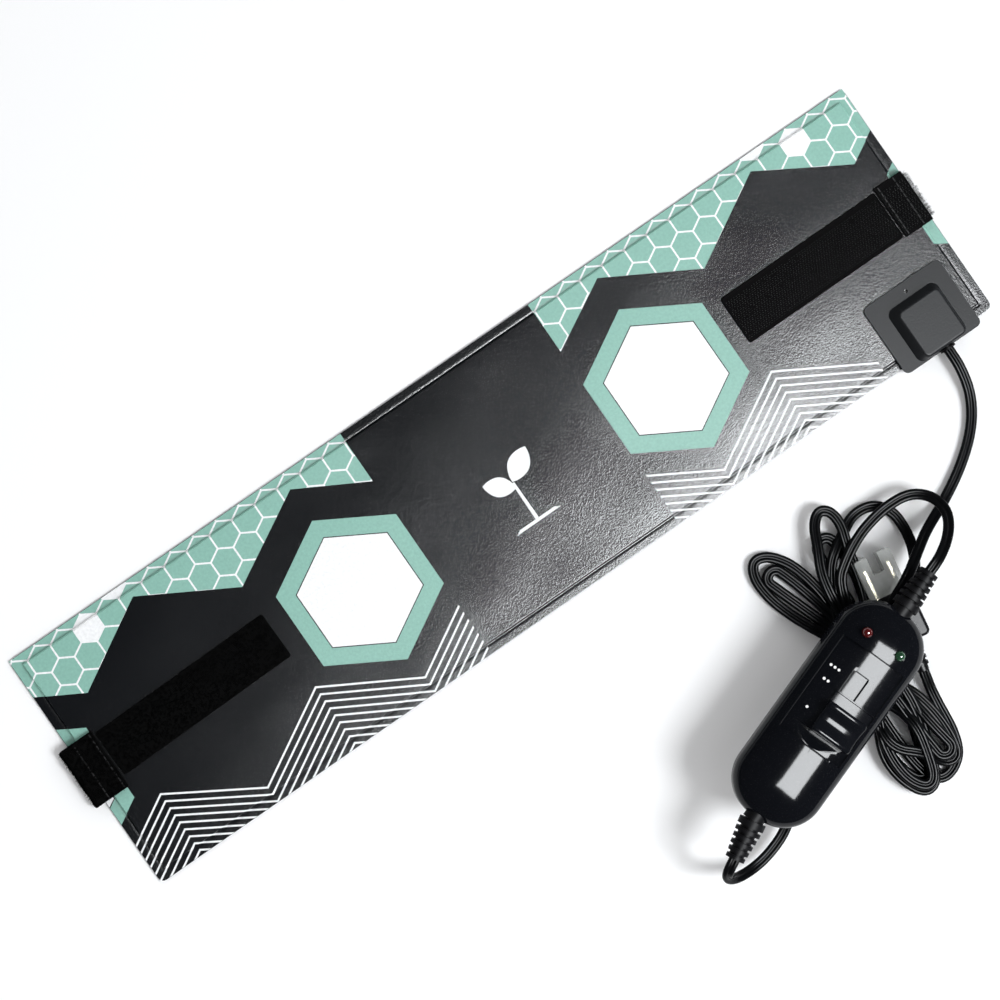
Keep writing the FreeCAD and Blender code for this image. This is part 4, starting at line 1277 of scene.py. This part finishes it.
class HEATMAT_OT_stage(bpy.types.Operator):
    """Pale floor, soft studio light and the camera"""
    bl_idname = "heatmat.stage"
    bl_label = "Stage"

    def execute(self, context):
        scene = context.scene
        bpy.ops.mesh.primitive_plane_add(size=40)
        floor = rename(context.object, "floor")
        paper = Board("white_paper", Base_Color=(0.93, 0.93, 0.935), Roughness=0.7,
                      Specular_IOR_Level=0.2, Emission_Strength=0.5)
        distance = paper.node("ShaderNodeVectorMath", {"operation": "LENGTH"}, output="Value",
                              Vector=paper.place())
        paper.feed("Emission Color", paper.node("ShaderNodeValToRGB",
                                                {"stops": [(0.22, 0.0), (0.75, 1.0)]},
                                                Fac=distance * 0.25))
        floor.data.materials.append(paper.material)
        for name, place, aim, size, power, for_matte in LIGHTS:
            bpy.ops.object.light_add(type="AREA", location=place)
            light = rename(context.object, name)
            light.data.shape = "SQUARE"
            light.data.size = size
            light.data.energy = power
            light.data.color = LIGHT_COLOUR
            light.visible_diffuse = for_matte
            light.visible_glossy = not for_matte
            toward = Vector(aim) - Vector(place)
            light.rotation_euler = toward.to_track_quat("-Z", "Y").to_euler()
        world = bpy.data.worlds.new("studio")
        world.use_nodes = True
        tree = world.node_tree
        sky = tree.nodes["Background"]
        direction = tree.nodes.new("ShaderNodeTexCoord")
        parts = tree.nodes.new("ShaderNodeSeparateXYZ")
        ramp = tree.nodes.new("ShaderNodeValToRGB")
        ramp.color_ramp.elements[0].position = 0.45
        ramp.color_ramp.elements[0].color = (1.0, 1.0, 1.0, 1)
        ramp.color_ramp.elements[1].position = 0.70
        ramp.color_ramp.elements[1].color = (0.012, 0.012, 0.013, 1)
        tree.links.new(direction.outputs["Generated"], parts.inputs[0])
        tree.links.new(parts.outputs["Z"], ramp.inputs[0])
        tree.links.new(ramp.outputs[0], sky.inputs["Color"])
        sky.inputs["Strength"].default_value = SKY_STRENGTH
        world.cycles_visibility.glossy = False
        scene.world = world
        scene.view_settings.view_transform = "Standard"
        camera_data = bpy.data.cameras.new("camera")
        camera_data.lens = 70
        camera_data.sensor_width = 36
        camera = bpy.data.objects.new("camera", camera_data)
        scene.collection.objects.link(camera)
        turn = Matrix((CAMERA_RIGHT, CAMERA_UP, CAMERA_BACK)).transposed().to_4x4()
        camera.matrix_world = Matrix.Translation(CAMERA_PLACE) @ turn
        scene.camera = camera
        return {"FINISHED"}


class HEATMAT_PT_panel(bpy.types.Panel):
    """Sidebar panel that lists every piece"""
    bl_idname = "HEATMAT_PT_panel"
    bl_label = "Seedling Heat Mat"
    bl_space_type = "VIEW_3D"
    bl_region_type = "UI"
    bl_category = "Heat Mat"

    def draw(self, context):
        for group in PROPERTY_GROUPS:
            settings = getattr(context.scene, group)
            box = self.layout.box()
            for prop in settings.bl_rna.properties:
                if prop.identifier not in ("rna_type", "name"):
                    box.prop(settings, prop.identifier)
        for operator in BUILD_ORDER:
            self.layout.operator(operator.bl_idname)


PROPERTY_GROUPS = {"heatmat_film": HEATMAT_PG_film, "heatmat_cord": HEATMAT_PG_cord,
                   "heatmat_straps": HEATMAT_PG_straps,
                   "heatmat_controller": HEATMAT_PG_controller}
BUILD_ORDER = (HEATMAT_OT_stage, HEATMAT_OT_film, HEATMAT_OT_print, HEATMAT_OT_straps,
               HEATMAT_OT_controller, HEATMAT_OT_fittings, HEATMAT_OT_cords)


def register():
    for group in PROPERTY_GROUPS.values():
        bpy.utils.register_class(group)
    for operator in BUILD_ORDER:
        bpy.utils.register_class(operator)
    bpy.utils.register_class(HEATMAT_PT_panel)
    for name, group in PROPERTY_GROUPS.items():
        setattr(bpy.types.Scene, name, PointerProperty(type=group))


def unregister():
    for name in PROPERTY_GROUPS:
        delattr(bpy.types.Scene, name)
    bpy.utils.unregister_class(HEATMAT_PT_panel)
    for operator in reversed(BUILD_ORDER):
        bpy.utils.unregister_class(operator)
    for group in reversed(list(PROPERTY_GROUPS.values())):
        bpy.utils.unregister_class(group)


def main():
    register()
    for operator in BUILD_ORDER:
        group, call = operator.bl_idname.split(".")
        getattr(getattr(bpy.ops, group), call)()


if __name__ == "__main__":
    main()
